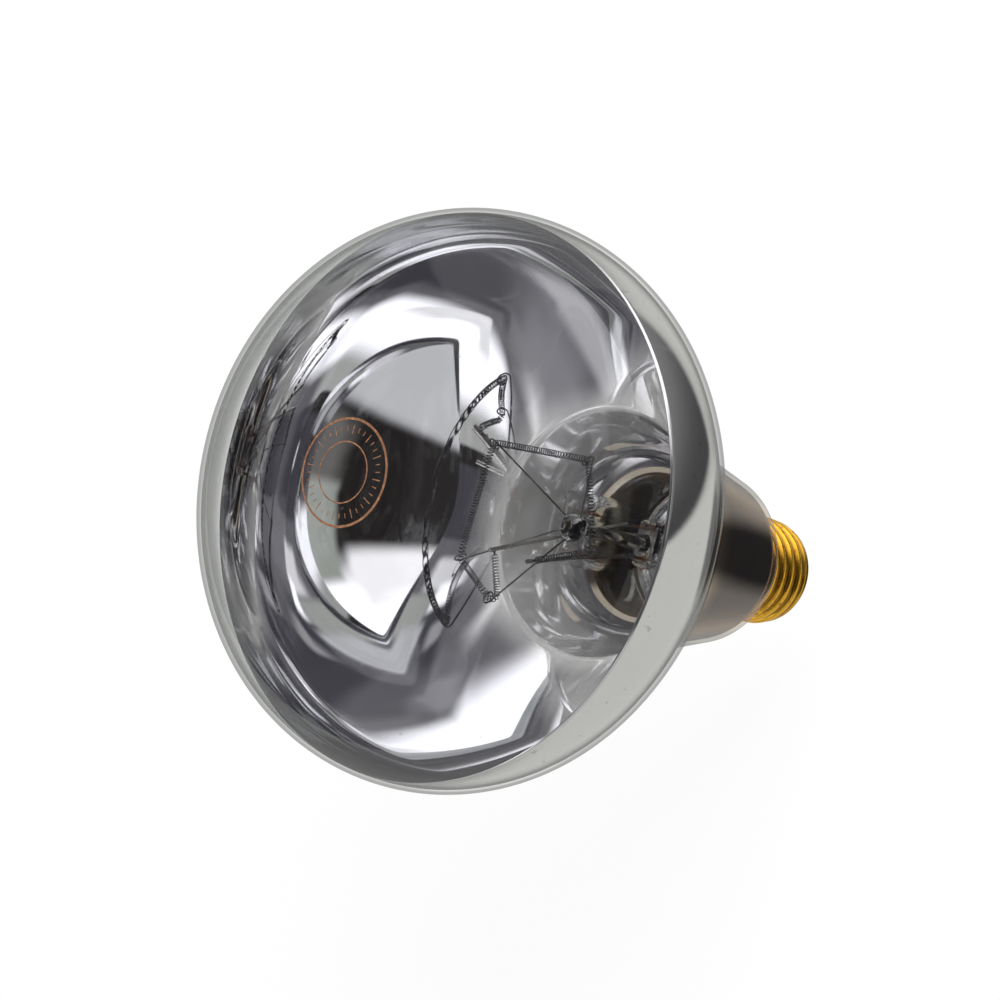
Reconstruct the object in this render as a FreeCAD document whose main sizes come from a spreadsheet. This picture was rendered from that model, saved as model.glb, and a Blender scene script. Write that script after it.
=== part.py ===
import FreeCAD, Part
import math
import os
import Sketcher

# Reflector heat lamp with a screw cap. The axis is Z, the lit face looks along +Z, and the
# origin is the centre of the flat end contact. X runs along the wide side of the glass press.
# Lengths are in millimetres and angles in degrees.

SIZES = {
    # Blown glass envelope, outside
    "bulb_diameter": 125.0,
    "widest_height": 130.5,
    "face_radius": 123.2,
    "face_edge_radius": 32.5,
    "bowl_edge_radius": 31.3,
    "bowl_flank_radius": 87.0,
    "bowl_edge_turn": 28.0,
    "bowl_cone_angle": 39.5,
    "neck_mouth_radius": 4.5,
    "neck_taper": 11.5,
    "neck_diameter": 41.8,
    "neck_shoulder_radius": 8.8,
    "seal_tube_diameter": 21.8,
    "seal_tube_end": 18.0,
    "glass_wall": 1.0,
    # Aluminium film inside the bowl and the neck
    "mirror_rim_rise": 7.7,
    "mirror_film": 0.08,
    # Stem: flare tube, flat press, exhaust tube and arbor
    "flare_lip": 1.0,
    "stem_tube_diameter": 12.0,
    "stem_wall": 1.0,
    "press_bottom": 48.0,
    "press_top": 58.5,
    "press_width": 11.0,
    "press_thickness": 5.4,
    "press_corner": 1.6,
    "exhaust_diameter": 4.4,
    "exhaust_bore": 2.8,
    "exhaust_tip": 13.0,
    "arbor_width": 3.8,
    "arbor_thickness": 2.6,
    "arbor_twist": 130.0,
    "button_height": 87.0,
    "button_diameter": 6.6,
    "button_depth": 5.6,
    # Lead wires, each in three parts
    "lead_spacing": 7.0,
    "lead_stagger": 2.8,
    "seal_wire_diameter": 0.7,
    "seal_wire_above": 5.0,
    "seal_wire_below": 4.0,
    "lead_diameter": 1.0,
    "lead_bend": 2.0,
    "lead_tip_past": 1.4,
    "pass_a_gap": 1.35,
    "pass_a_angle": 126.0,
    "pass_b_gap": 3.2,
    "pass_b_angle": -157.0,
    "tip_a_across": -8.7,
    "tip_a_back": 6.7,
    "tip_b_across": -9.3,
    "tip_b_back": -4.0,
    "outer_wire_diameter": 0.4,
    "outer_wire_bend": 0.7,
    "outer_wire_slack": 0.03,
    "outer_wire_drop": 1.2,
    "outer_wire_rise": 1.0,
    # Filament coil and its supports
    "filament_height": 104.5,
    "coil_diameter": 1.75,
    "coil_bend": 1.4,
    "coil_clearance": 0.27,
    "coil_leg_diameter": 0.6,
    "coil_leg_length": 0.9,
    "support_diameter": 0.4,
    "support_sink": 1.2,
    # Each hook: its distance from the axis and angle round it, the angle from there to the
    # support's seat in the button, and where its eye sits on the coil's bend (0 start, 1 middle)
    "first_out": 20.0,
    "first_hook_angle": -101.5,
    "first_seat_angle": 0.0,
    "first_grip_share": 1.0,
    "second_out": 20.0,
    "second_hook_angle": -41.0,
    "second_seat_angle": 0.0,
    "second_grip_share": 1.0,
    "third_out": 20.0,
    "third_hook_angle": 44.0,
    "third_seat_angle": 0.0,
    "third_grip_share": 1.0,
    "fourth_out": 20.0,
    "fourth_hook_angle": 128.0,
    "fourth_seat_angle": -26.0,
    "fourth_grip_share": 1.0,
    "fifth_out": 21.9,
    "fifth_hook_angle": 175.8,
    "fifth_seat_angle": 0.0,
    "fifth_grip_share": 0.0,
    # Screw cap
    "cap_height": 27.0,
    "skirt_diameter": 25.7,
    "thread_major": 26.3,
    "thread_minor": 24.1,
    "thread_pitch": 3.629,
    "thread_first_crest": 7.4,
    "thread_start": 6.8,
    "thread_finish": 22.0,
    "thread_fade": 1.6,
    "sheet": 0.3,
    "shell_end_height": 4.4,
    "shell_end_diameter": 18.0,
    "rim_gap": 0.6,
    # Cement, insulator and end contact
    "cement_gap": 0.1,
    "cement_depth": 8.0,
    "cement_slot_angle": 6.0,
    "insulator_gap": 0.05,
    "insulator_top": 7.6,
    "insulator_foot_diameter": 11.4,
    "wire_hole_diameter": 2.0,
    "contact_diameter": 9.8,
    "contact_thickness": 0.5,
    "contact_edge": 0.35,
    "contact_hole": 2.4,
    "solder_depth": 0.9,
    "side_solder_width": 2.8,
    "side_solder_depth": 2.3,
}

SIDES = (("a", 1), ("b", -1))
HOOKS = ("first", "second", "third", "fourth", "fifth")
EYE_TURN = math.radians(285)
ARBOR_STEPS = 4
ROWS_PER_PITCH = 8
ROW_POINTS = 16
SHELL_FOOT_ROWS = (0.0, 0.1, 0.3, 0.6)
OVERCUT = 2.0
FLAT = 0.001
CUBIC = 3

doc = FreeCAD.newDocument("heat_lamp")
sheet = doc.addObject("Spreadsheet::Sheet", "Sizes")
for line, (alias, number) in enumerate(SIZES.items(), start=1):
    sheet.set(f"A{line}", alias)
    sheet.set(f"B{line}", str(number))
    sheet.setAlias(f"B{line}", alias)
doc.recompute()


class Size:
    """A number together with the sheet formula that gives it."""

    def __init__(self, value, formula):
        self.value = value
        self.formula = formula

    def __add__(self, other):
        other = as_size(other)
        return Size(self.value + other.value, f"({self.formula} + {other.formula})")

    def __sub__(self, other):
        other = as_size(other)
        return Size(self.value - other.value, f"({self.formula} - {other.formula})")

    def __mul__(self, other):
        other = as_size(other)
        return Size(self.value * other.value, f"({self.formula} * {other.formula})")

    def __truediv__(self, other):
        other = as_size(other)
        return Size(self.value / other.value, f"({self.formula} / {other.formula})")

    def __neg__(self):
        return Size(-self.value, f"(0 - {self.formula})")


def as_size(thing):
    return thing if isinstance(thing, Size) else Size(float(thing), f"({float(thing)!r})")


def size(alias):
    return Size(float(getattr(sheet, alias)), f"Sizes.{alias}")


def sine(angle):
    return Size(math.sin(math.radians(angle.value)), f"sin({angle.formula})")


def cosine(angle):
    return Size(math.cos(math.radians(angle.value)), f"cos({angle.formula})")


def root(number):
    return Size(math.sqrt(number.value), f"sqrt({number.formula})")


def new_body(name):
    body = doc.addObject("PartDesign::Body", name)
    body.Label = name
    return body


def plane_of(body, role):
    return next(part for part in body.Origin.OriginFeatures if part.Role == role)


def new_sketch(body, name, role):
    sketch = body.newObject("Sketcher::SketchObject", name)
    sketch.AttachmentSupport = (plane_of(body, role), [""])
    sketch.MapMode = "FlatFace"
    return sketch


def bind_datum(sketch, constraint, name, measure):
    index = sketch.addConstraint(constraint)
    sketch.renameConstraint(index, name)
    sketch.setExpression(f".Constraints.{name}", measure.formula)


def place_point(sketch, element, end, across, up, name):
    """Holds one end of a sketch element at the given distances from the origin."""
    for kind, measure, axis in (("DistanceX", across, -2), ("DistanceY", up, -1)):
        if measure.value == 0.0:
            sketch.addConstraint(Sketcher.Constraint("PointOnObject", element, end, axis))
        else:
            datum = Sketcher.Constraint(kind, -1, 1, element, end, measure.value)
            bind_datum(sketch, datum, f"{name}_{kind[-1].lower()}", measure)


def arc_through(start, finish, radius, bulge):
    """Arc between two points, on their left side for bulge 1 and on their right for -1."""
    chord = finish - start
    middle = (start + finish) * 0.5
    height = math.sqrt(max(radius * radius - chord.Length ** 2 / 4, 0.0))
    left = FreeCAD.Vector(-chord.y, chord.x, 0) / chord.Length
    centre = middle - left * height * bulge
    circle = Part.Circle(centre, FreeCAD.Vector(0, 0, 1), radius)
    first, last = (finish, start) if bulge > 0 else (start, finish)
    angles = [math.atan2(p.y - centre.y, p.x - centre.x) for p in (first, last)]
    return Part.ArcOfCircle(circle, angles[0], angles[1])


def outline(sketch, corners):
    """Closed outline. A corner is (across, up), or (across, up, radius, bulge) when an arc
    leads from it to the next corner."""
    corners = [(as_size(c[0]), as_size(c[1])) + tuple(c[2:]) for c in corners]
    points = [FreeCAD.Vector(c[0].value, c[1].value, 0) for c in corners]
    entries = []
    for number, corner in enumerate(corners):
        start, finish = points[number], points[(number + 1) % len(points)]
        if len(corner) == 2:
            element = sketch.addGeometry(Part.LineSegment(start, finish), False)
            entries.append((element, 1, 2))
        else:
            radius, bulge = corner[2:]
            element = sketch.addGeometry(arc_through(start, finish, radius.value, bulge), False)
            entries.append((element, 2, 1) if bulge > 0 else (element, 1, 2))
    for number, (element, start_end, finish_end) in enumerate(entries):
        following, following_end = entries[(number + 1) % len(entries)][:2]
        sketch.addConstraint(
            Sketcher.Constraint("Coincident", element, finish_end, following, following_end))
        across, up = corners[number][:2]
        place_point(sketch, element, start_end, across, up, f"corner{number}")
        if len(corners[number]) == 4:
            radius = corners[number][2]
            datum = Sketcher.Constraint("Radius", element, radius.value)
            bind_datum(sketch, datum, f"round{number}", radius)


def turned(body, name, corners, cut=False, angle=360.0):
    """A solid turned about Z from an outline of radii and heights, or cut away that way."""
    sketch = new_sketch(body, name + "_outline", "XZ_Plane")
    outline(sketch, corners)
    kind = "PartDesign::Groove" if cut else "PartDesign::Revolution"
    feature = body.newObject(kind, name)
    feature.Profile = sketch
    feature.ReferenceAxis = (sketch, ["V_Axis"])
    feature.Angle = angle
    return feature


# Glass lines that the envelope, its film and everything at the neck share

class Glass:
    """Corners of the envelope's wall at a distance inside its outer surface."""

    radius = size("bulb_diameter") / 2
    widest = size("widest_height")
    face = size("face_radius")
    edge = size("face_edge_radius")
    bowl_edge = size("bowl_edge_radius")
    flank = size("bowl_flank_radius")
    first_turn = size("bowl_edge_turn")
    cone = size("bowl_cone_angle")
    mouth = size("neck_mouth_radius")
    taper = size("neck_taper")
    shoulder = size("neck_shoulder_radius")
    bottom = size("cap_height") + size("rim_gap")

    edge_across = radius - edge
    face_centre = widest - root((face - edge) * (face - edge) - edge_across * edge_across)
    shoulder_across = size("neck_diameter") / 2 - shoulder
    shoulder_up = bottom + shoulder
    bowl_across = radius - bowl_edge
    flank_across = bowl_across + (bowl_edge - flank) * cosine(first_turn)
    flank_up = widest - (bowl_edge - flank) * sine(first_turn)
    cone_reach = flank_across * cosine(cone) - flank_up * sine(cone) + flank + mouth
    neck_reach = (shoulder_across * cosine(taper) - shoulder_up * sine(taper)
                  + shoulder + mouth)
    turn = sine(cone - taper)
    mouth_across = (neck_reach * sine(cone) - cone_reach * sine(taper)) / turn
    mouth_up = (neck_reach * cosine(cone) - cone_reach * cosine(taper)) / turn

    def __init__(self, inside):
        self.inside = as_size(inside)

    def apex(self):
        return (Size(0.0, "0"), self.face_centre + self.face - self.inside)

    def face_end(self):
        ratio = (self.face - self.inside) / (self.face - self.edge)
        return (self.edge_across * ratio,
                self.face_centre + (self.widest - self.face_centre) * ratio)

    def edge_point(self, rise):
        """Point of the rounded face edge whose outward slope is set by a rise of the film."""
        sine_up = rise / self.edge
        cosine_up = root(as_size(1) - sine_up * sine_up)
        reach = self.edge - self.inside
        return (self.edge_across + reach * cosine_up, self.widest + reach * sine_up)

    def on_arc(self, across, up, radius, angle):
        return (across + radius * cosine(angle), up - radius * sine(angle))

    def behind_widest(self):
        """Corners from the widest circle down the bowl and the neck, with their arcs."""
        inside = self.inside
        first = self.on_arc(self.bowl_across, self.widest,
                            self.bowl_edge - inside, self.first_turn)
        second = self.on_arc(self.flank_across, self.flank_up, self.flank - inside, self.cone)
        hollow = self.mouth + inside
        third = self.on_arc(self.mouth_across, self.mouth_up, -hollow, self.cone)
        fourth = self.on_arc(self.mouth_across, self.mouth_up, -hollow, self.taper)
        return [
            (self.radius - inside, self.widest, self.bowl_edge - inside, 1),
            first + (self.flank - inside, 1),
            second,
            third + (hollow, -1),
            fourth,
        ]

    def neck_end(self):
        return self.on_arc(self.shoulder_across, self.shoulder_up,
                           self.shoulder - self.inside, self.taper)

    def shoulder_end(self):
        return (self.shoulder_across, self.bottom + self.inside)


wall = size("glass_wall")
seal_end = size("seal_tube_end")
seal_outside = size("seal_tube_diameter") / 2
seal_inside = seal_outside - wall


def glass_corners(inside, tube_radius, tube_end):
    glass = Glass(inside)
    return (
        [glass.apex() + (glass.face - glass.inside, 1),
         glass.face_end() + (glass.edge - glass.inside, 1)]
        + glass.behind_widest()
        + [glass.neck_end() + (glass.shoulder - glass.inside, 1),
           glass.shoulder_end(),
           (tube_radius, glass.bottom + glass.inside),
           (tube_radius, tube_end),
           (0, tube_end)]
    )


def make_envelope():
    body = new_body("envelope")
    turned(body, "blown_shape", glass_corners(0, seal_outside, seal_end))
    turned(body, "hollow", glass_corners(wall, seal_inside, seal_end - OVERCUT), cut=True)
    return body


def make_mirror_coating():
    """Film on the inner wall, from in front of the widest circle to the end of the neck."""
    body = new_body("mirror_coating")
    outer, inner = Glass(wall), Glass(wall + size("mirror_film"))
    rise = size("mirror_rim_rise")
    there = ([outer.edge_point(rise) + (outer.edge - outer.inside, 1)]
             + outer.behind_widest() + [outer.neck_end()])
    back = ([inner.edge_point(rise) + (inner.edge - inner.inside, 1)]
            + inner.behind_widest() + [inner.neck_end()])
    turned(body, "film", there + way_back(back))
    return body


def way_back(corners):
    """The same corners from the last to the first, with each arc bulging the other way."""
    turned_round = []
    for number in range(len(corners) - 1, -1, -1):
        before = corners[number - 1]
        arc = (before[2], -before[3]) if number > 0 and len(before) == 4 else ()
        turned_round.append(tuple(corners[number][:2]) + arc)
    return turned_round


# Stem

stem_outside = size("stem_tube_diameter") / 2
stem_inside = stem_outside - size("stem_wall")
press_bottom = size("press_bottom")
press_top = size("press_top")
tube_ceiling = press_bottom - size("stem_wall")
lead_across = size("lead_spacing") / 2
lead_back = size("lead_stagger") / 2


def make_stem_flare():
    """Flare tube, sealed with its lip under the end of the neck, and pressed flat on top."""
    body = new_body("stem_flare")
    lip = size("flare_lip")
    lip_bottom = seal_end - lip
    bend, inner_bend = seal_inside - stem_outside, seal_inside - stem_inside
    turned(body, "flare_tube", [
        (0, press_bottom),
        (stem_outside, press_bottom),
        (stem_outside, seal_end + bend, bend, -1),
        (seal_inside, seal_end),
        (seal_outside, seal_end),
        (seal_outside, lip_bottom),
        (seal_inside, lip_bottom, inner_bend, 1),
        (stem_inside, lip_bottom + inner_bend),
        (stem_inside, tube_ceiling),
        (0, tube_ceiling),
    ])
    press_sketch = new_sketch(body, "press_outline", "XY_Plane")
    half_width, half_depth = size("press_width") / 2, size("press_thickness") / 2
    corner = size("press_corner")
    outline(press_sketch, [
        (half_width - corner, half_depth),
        (-(half_width - corner), half_depth, corner, -1),
        (-half_width, half_depth - corner),
        (-half_width, -(half_depth - corner), corner, -1),
        (-(half_width - corner), -half_depth),
        (half_width - corner, -half_depth, corner, -1),
        (half_width, -(half_depth - corner)),
        (half_width, half_depth - corner, corner, -1),
    ])
    press_sketch.AttachmentOffset = FreeCAD.Placement(
        FreeCAD.Vector(0, 0, tube_ceiling.value), FreeCAD.Rotation())
    press_sketch.setExpression(".AttachmentOffset.Base.z", tube_ceiling.formula)
    press = body.newObject("PartDesign::Pad", "press")
    press.Profile = press_sketch
    press.Length = (press_top - tube_ceiling).value
    press.setExpression("Length", (press_top - tube_ceiling).formula)
    holes = new_sketch(body, "wire_holes", "XY_Plane")
    radius = size("seal_wire_diameter") / 2
    for number, side in enumerate((1, -1)):
        across, back = lead_across * side, lead_back * side
        spot = FreeCAD.Vector(across.value, back.value, 0)
        circle = Part.Circle(spot, FreeCAD.Vector(0, 0, 1), radius.value)
        element = holes.addGeometry(circle, False)
        place_point(holes, element, 3, across, back, f"wire{number}")
        datum = Sketcher.Constraint("Radius", element, radius.value)
        bind_datum(holes, datum, f"bore{number}", radius)
    drilled = body.newObject("PartDesign::Pocket", "wire_ways")
    drilled.Profile = holes
    drilled.Type = "ThroughAll"
    drilled.Reversed = True
    return body


def make_exhaust_tube():
    """Thin tube inside the flare tube, melted shut at its lower end."""
    body = new_body("exhaust_tube")
    outside, inside = size("exhaust_diameter") / 2, size("exhaust_bore") / 2
    tip = size("exhaust_tip")
    bulb = tip + outside
    turned(body, "drawn_tube", [
        (inside, tube_ceiling),
        (outside, tube_ceiling),
        (outside, bulb, outside, 1),
        (0, tip),
        (0, bulb - inside, inside, -1),
        (inside, bulb),
    ])
    return body


def make_arbor_rod(supports):
    """Flat glass rod, twisted as it was drawn, with the button that holds the supports."""
    half_width, half_depth = size("arbor_width") / 2, size("arbor_thickness") / 2
    rise = size("button_height") - press_top
    sections = []
    for step in range(ARBOR_STEPS + 1):
        share = step / ARBOR_STEPS
        ring = doc.addObject("Part::Ellipse", f"arbor_section{step}")
        ring.MajorRadius, ring.MinorRadius = half_width.value, half_depth.value
        ring.setExpression("MajorRadius", half_width.formula)
        ring.setExpression("MinorRadius", half_depth.formula)
        height, turn = press_top + rise * share, size("arbor_twist") * share
        ring.Placement = FreeCAD.Placement(
            FreeCAD.Vector(0, 0, height.value),
            FreeCAD.Rotation(FreeCAD.Vector(0, 0, 1), turn.value))
        ring.setExpression("Placement.Base.z", height.formula)
        sections.append(ring)
    rod = doc.addObject("Part::Loft", "arbor_blade")
    rod.Sections = sections
    rod.Solid = True
    button = doc.addObject("Part::Ellipsoid", "arbor_button")
    for name, measure in (("Radius1", size("button_depth") / 2),
                          ("Radius2", size("button_diameter") / 2),
                          ("Radius3", size("button_diameter") / 2)):
        setattr(button, name, measure.value)
        button.setExpression(name, measure.formula)
    button.Placement.Base.z = size("button_height").value
    button.setExpression("Placement.Base.z", size("button_height").formula)
    glass = doc.addObject("Part::Fuse", "arbor_glass")
    glass.Base, glass.Tool = rod, button
    wires = doc.addObject("Part::Compound", "sealed_wires")
    wires.Links = supports
    sealed = doc.addObject("Part::Cut", "arbor_rod")
    sealed.Base, sealed.Tool = glass, wires
    sealed.Label = "arbor_rod"
    return sealed


# Wires: runs joined by tangent arcs, swept with a round section

def rounded_path(points, bend):
    """Wire through the points, with each corner rounded to the bend radius."""
    edges = []
    start = points[0]
    for number in range(1, len(points) - 1):
        corner = points[number]
        before = (points[number - 1] - corner).normalize()
        after = (points[number + 1] - corner).normalize()
        half = before.getAngle(after) / 2
        back_off = bend / math.tan(half)
        first, last = corner + before * back_off, corner + after * back_off
        middle_way = (before + after).normalize()
        top = corner + middle_way * (bend / math.sin(half) - bend)
        edges.append(Part.LineSegment(start, first).toShape())
        edges.append(Part.Arc(first, top, last).toShape())
        start = last
    edges.append(Part.LineSegment(start, points[-1]).toShape())
    return Part.Wire(edges)


def swept_wire(name, path, diameter):
    """Round wire of the given diameter along a path."""
    spine = doc.addObject("Part::Feature", name + "_path")
    spine.Shape = path
    section = doc.addObject("Part::Circle", name + "_section")
    radius = diameter / 2
    section.Radius = radius.value
    section.setExpression("Radius", radius.formula)
    first = path.Edges[0]
    begin = first.Vertexes[0].Point
    onward = first.tangentAt(first.FirstParameter)
    section.Placement = FreeCAD.Placement(
        begin, FreeCAD.Rotation(FreeCAD.Vector(0, 0, 1), onward))
    sweep = doc.addObject("Part::Sweep", name)
    sweep.Sections = [section]
    sweep.Spine = (spine, [f"Edge{number + 1}" for number in range(len(path.Edges))])
    sweep.Solid = True
    sweep.Frenet = False
    sweep.Label = name
    return sweep


def vector(across, back, up):
    return FreeCAD.Vector(across.value, back.value, up.value)


seal_wire_top = press_top + size("seal_wire_above")
seal_wire_foot = tube_ceiling - size("seal_wire_below")


def lead_tip(side):
    return (size(f"tip_{side}_across"), size(f"tip_{side}_back"))


def make_dumet_seal(side, sign):
    """Copper clad wire that passes through the press and seals in it."""
    rod = doc.addObject("Part::Cylinder", f"dumet_seal_{side}")
    rod.Label = f"dumet_seal_{side}"
    radius, length = size("seal_wire_diameter") / 2, seal_wire_top - seal_wire_foot
    rod.Radius, rod.Height = radius.value, length.value
    rod.setExpression("Radius", radius.formula)
    rod.setExpression("Height", length.formula)
    across, back = lead_across * sign, lead_back * sign
    rod.Placement.Base = vector(across, back, seal_wire_foot)
    for axis, measure in (("x", across), ("y", back), ("z", seal_wire_foot)):
        rod.setExpression(f"Placement.Base.{axis}", measure.formula)
    return rod


def make_lead_wire(side, sign):
    """Stiff inner lead that leans out from the press, past the button, to the filament."""
    foot = vector(lead_across * sign, lead_back * sign, seal_wire_top)
    knee = foot + FreeCAD.Vector(0, 0, size("lead_bend").value)
    clear = (size("button_diameter") + size("lead_diameter")) / 2 + size(f"pass_{side}_gap")
    around = math.radians(size(f"pass_{side}_angle").value)
    beside = FreeCAD.Vector(clear.value * math.cos(around), clear.value * math.sin(around),
                            size("button_height").value)
    clamp = vector(*lead_tip(side), size("filament_height"))
    end = clamp + (clamp - beside).normalize() * size("lead_tip_past").value
    path = rounded_path([foot, knee, beside, end], size("lead_bend").value)
    return swept_wire(f"lead_wire_{side}", path, size("lead_diameter"))


def make_outer_lead_a():
    """Outer lead that runs down to the centre contact."""
    rise = size("outer_wire_rise")
    top = vector(lead_across, lead_back, seal_wire_foot)
    turn_out = vector(lead_across, lead_back, size("exhaust_tip") + rise)
    over_hole = FreeCAD.Vector(0, 0, (size("insulator_top") + rise).value)
    end = FreeCAD.Vector(0, 0, size("solder_depth").value)
    path = rounded_path([top, turn_out, over_hole, end], size("outer_wire_bend").value)
    return swept_wire("outer_lead_a", path, size("outer_wire_diameter"))


rim = size("cap_height")
skirt_radius = size("skirt_diameter") / 2
thread_root = size("thread_minor") / 2
sheet_metal = size("sheet")
side_angle = math.degrees(math.atan2(-lead_back.value, -lead_across.value))


def make_outer_lead_b():
    """Outer lead that turns under the flare and up past the neck to the rim of the shell."""
    wire = size("outer_wire_diameter").value
    stem_reach = math.hypot(lead_across.value, lead_back.value)
    below = (seal_end - size("flare_lip") - size("outer_wire_drop")).value
    channel = (seal_outside.value + thread_root.value - sheet_metal.value) / 2
    over = (rim + size("rim_gap") / 2).value
    outside = skirt_radius.value + wire
    heights = [
        (stem_reach, seal_wire_foot.value), (stem_reach, below), (channel, below),
        (channel, over), (outside, over), (outside, solder_top().value),
    ]
    turn = FreeCAD.Rotation(FreeCAD.Vector(0, 0, 1), side_angle)
    points = [turn.multVec(FreeCAD.Vector(r, 0, z)) for r, z in heights]
    path = rounded_path(points, wire / 2 + size("outer_wire_slack").value)
    return swept_wire("outer_lead_b", path, size("outer_wire_diameter"))


def solder_top():
    return rim - size("outer_wire_diameter") / 2


# Filament and supports

coil_radius = size("coil_diameter") / 2


def hook_point(name):
    around = math.radians(size(f"{name}_hook_angle").value)
    reach = size(f"{name}_out").value
    return FreeCAD.Vector(reach * math.cos(around), reach * math.sin(around),
                          size("filament_height").value)


def coil_chain():
    """Corners of the coil's line: the end of each leg on a lead, and the five hooks."""
    clamps = [vector(*lead_tip(side), size("filament_height")) for side in ("b", "a")]
    return clamps[:1] + [hook_point(name) for name in HOOKS] + clamps[1:]


def make_filament(leads):
    """Outer shape of the wound coil over the five hooks, with a straight leg to each lead."""
    chain = coil_chain()
    bare = (size("lead_diameter") / 2 + size("coil_leg_length")).value
    away = [(chain[1] - chain[0]).normalize() * bare, (chain[-2] - chain[-1]).normalize() * bare]
    wound = [chain[0] + away[0]] + chain[1:-1] + [chain[-1] + away[1]]
    coil = swept_wire("coil", rounded_path(wound, size("coil_bend").value), size("coil_diameter"))
    legs = [swept_wire(f"leg{number}", rounded_path([clamp, clamp + way], 0),
                       size("coil_leg_diameter"))
            for number, (clamp, way) in enumerate(((chain[0], away[0]), (chain[-1], away[1])))]
    joined = doc.addObject("Part::MultiFuse", "coil_and_legs")
    joined.Shapes = [coil] + legs
    clamped = doc.addObject("Part::Compound", "clamping_leads")
    clamped.Links = leads
    filament = doc.addObject("Part::Cut", "filament")
    filament.Base, filament.Tool = joined, clamped
    filament.Label = "filament"
    return filament


def eye_centres():
    """Point of the coil's line that each eye holds, on the bend round the hook."""
    chain, bend = coil_chain(), size("coil_bend").value
    centres = []
    for name, before, here, after in zip(HOOKS, chain, chain[1:], chain[2:]):
        back, onward = (before - here).normalize(), (after - here).normalize()
        half = back.getAngle(onward) / 2
        bend_start = here + back * (bend / math.tan(half))
        bend_middle = here + (back + onward).normalize() * (bend / math.sin(half) - bend)
        centres.append(bend_start + (bend_middle - bend_start) * size(f"{name}_grip_share").value)
    return centres


def make_support_wire(number, name, centre):
    """Molybdenum wire sealed in the button, with an open eye round the filament."""
    wire = size("support_diameter").value / 2
    eye = coil_radius.value + size("coil_clearance").value + wire
    depth = size("button_diameter").value / 2 - size("support_sink").value
    seat_angle = math.atan2(centre.y, centre.x) + math.radians(size(f"{name}_seat_angle").value)
    seat = FreeCAD.Vector(depth * math.cos(seat_angle), depth * math.sin(seat_angle),
                          size("button_height").value)
    out, up = math.hypot(centre.x - seat.x, centre.y - seat.y), centre.z - seat.z
    reach = math.hypot(out, up)
    slope = math.atan2(up, out) - math.asin(eye / reach)
    run = math.sqrt(reach * reach - eye * eye)
    touch = FreeCAD.Vector(run * math.cos(slope), 0, run * math.sin(slope))
    begin = math.atan2(touch.z - up, touch.x - out)
    half_way, tip = [FreeCAD.Vector(out + eye * math.cos(begin + turn), 0,
                                    up + eye * math.sin(begin + turn))
                     for turn in (EYE_TURN / 2, EYE_TURN)]
    path = Part.Wire([Part.LineSegment(FreeCAD.Vector(), touch).toShape(),
                      Part.Arc(touch, half_way, tip).toShape()])
    heading = math.degrees(math.atan2(centre.y - seat.y, centre.x - seat.x))
    path.rotate(FreeCAD.Vector(), FreeCAD.Vector(0, 0, 1), heading)
    path.translate(seat)
    return swept_wire(f"support_wire_{number}", path, size("support_diameter"))


# Screw cap

def thread_wave(turns):
    """Height of the rounded thread over its mean line, one crest for each turn."""
    quarter, depth = size("thread_pitch").value / 4, thread_depth() / 2
    curve = (quarter * quarter + depth * depth) / (2 * depth)
    from_crest = abs((turns + 0.5) % 1.0 - 0.5)
    along = min(from_crest, 0.5 - from_crest) * 4 * quarter
    rise = depth - curve + math.sqrt(curve * curve - along * along)
    return rise if from_crest <= 0.25 else -rise


def thread_depth():
    return (size("thread_major").value - size("thread_minor").value) / 2


def eased(share):
    share = min(max(share, 0.0), 1.0)
    return share * share * (3 - 2 * share)


def shell_line(height):
    """Mean radius of the shell and the share of the thread's depth at a height."""
    start, finish = size("thread_start").value, size("thread_finish").value
    fade = size("thread_fade").value
    mean = (size("thread_major").value + size("thread_minor").value) / 4
    foot, foot_radius = size("shell_end_height").value, size("shell_end_diameter").value / 2
    if height < start:
        share = (start - height) / (start - foot)
        mean = foot_radius + (mean - foot_radius) * math.sqrt(max(1 - share * share, 0.0))
    leaving = eased((height - finish) / fade)
    mean += (skirt_radius.value - mean) * leaving
    return mean, eased((height - start) / fade) * (1 - leaving)


def shell_point(height, turn, inside):
    """Point of the shell's outer surface, or of its inner one a sheet inside it."""
    mean, share = shell_line(height)
    turns_up = (height - size("thread_first_crest").value) / size("thread_pitch").value
    radius = mean - inside + share * thread_wave(turns_up - turn)
    angle = 2 * math.pi * turn
    return FreeCAD.Vector(radius * math.cos(angle), radius * math.sin(angle), height)


def shell_heights():
    """Heights of the rows that carry the shell's surface, close together on the thread."""
    foot = size("shell_end_height").value
    start, finish = size("thread_start").value, size("thread_finish").value
    step = size("thread_pitch").value / ROWS_PER_PITCH
    low = [foot + (start - foot) * share for share in SHELL_FOOT_ROWS]
    count = math.ceil((finish + size("thread_fade").value - start) / step)
    thread = [start + step * number for number in range(count + 1)]
    return low + thread + [(thread[-1] + rim.value) / 2, rim.value]


def shell_surface(inside):
    """Cubic surface, closed round the axis, whose poles are moved out by a sixth of their
    second differences so that the surface passes through the rows."""
    rows = [[shell_point(height, number / ROW_POINTS, inside) for number in range(ROW_POINTS)]
            for height in shell_heights()]
    last = len(rows) - 1
    poles = []
    for number in range(ROW_POINTS):
        column = []
        for level, row in enumerate(rows):
            here = row[number]
            bend = row[number - 1] + row[(number + 1) % ROW_POINTS] - here * 2
            if 0 < level < last:
                bend += rows[level - 1][number] + rows[level + 1][number] - here * 2
            column.append(here - bend / 6)
        poles.append(column)
    surface = Part.BSplineSurface()
    around = [float(knot) for knot in range(ROW_POINTS + 1)]
    upward = [float(knot) for knot in range(last - 1)]
    surface.buildFromPolesMultsKnots(
        poles, [1] * len(around), [CUBIC + 1] + [1] * (len(upward) - 2) + [CUBIC + 1],
        around, upward, True, False, CUBIC, CUBIC)
    return surface.toShape()


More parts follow.
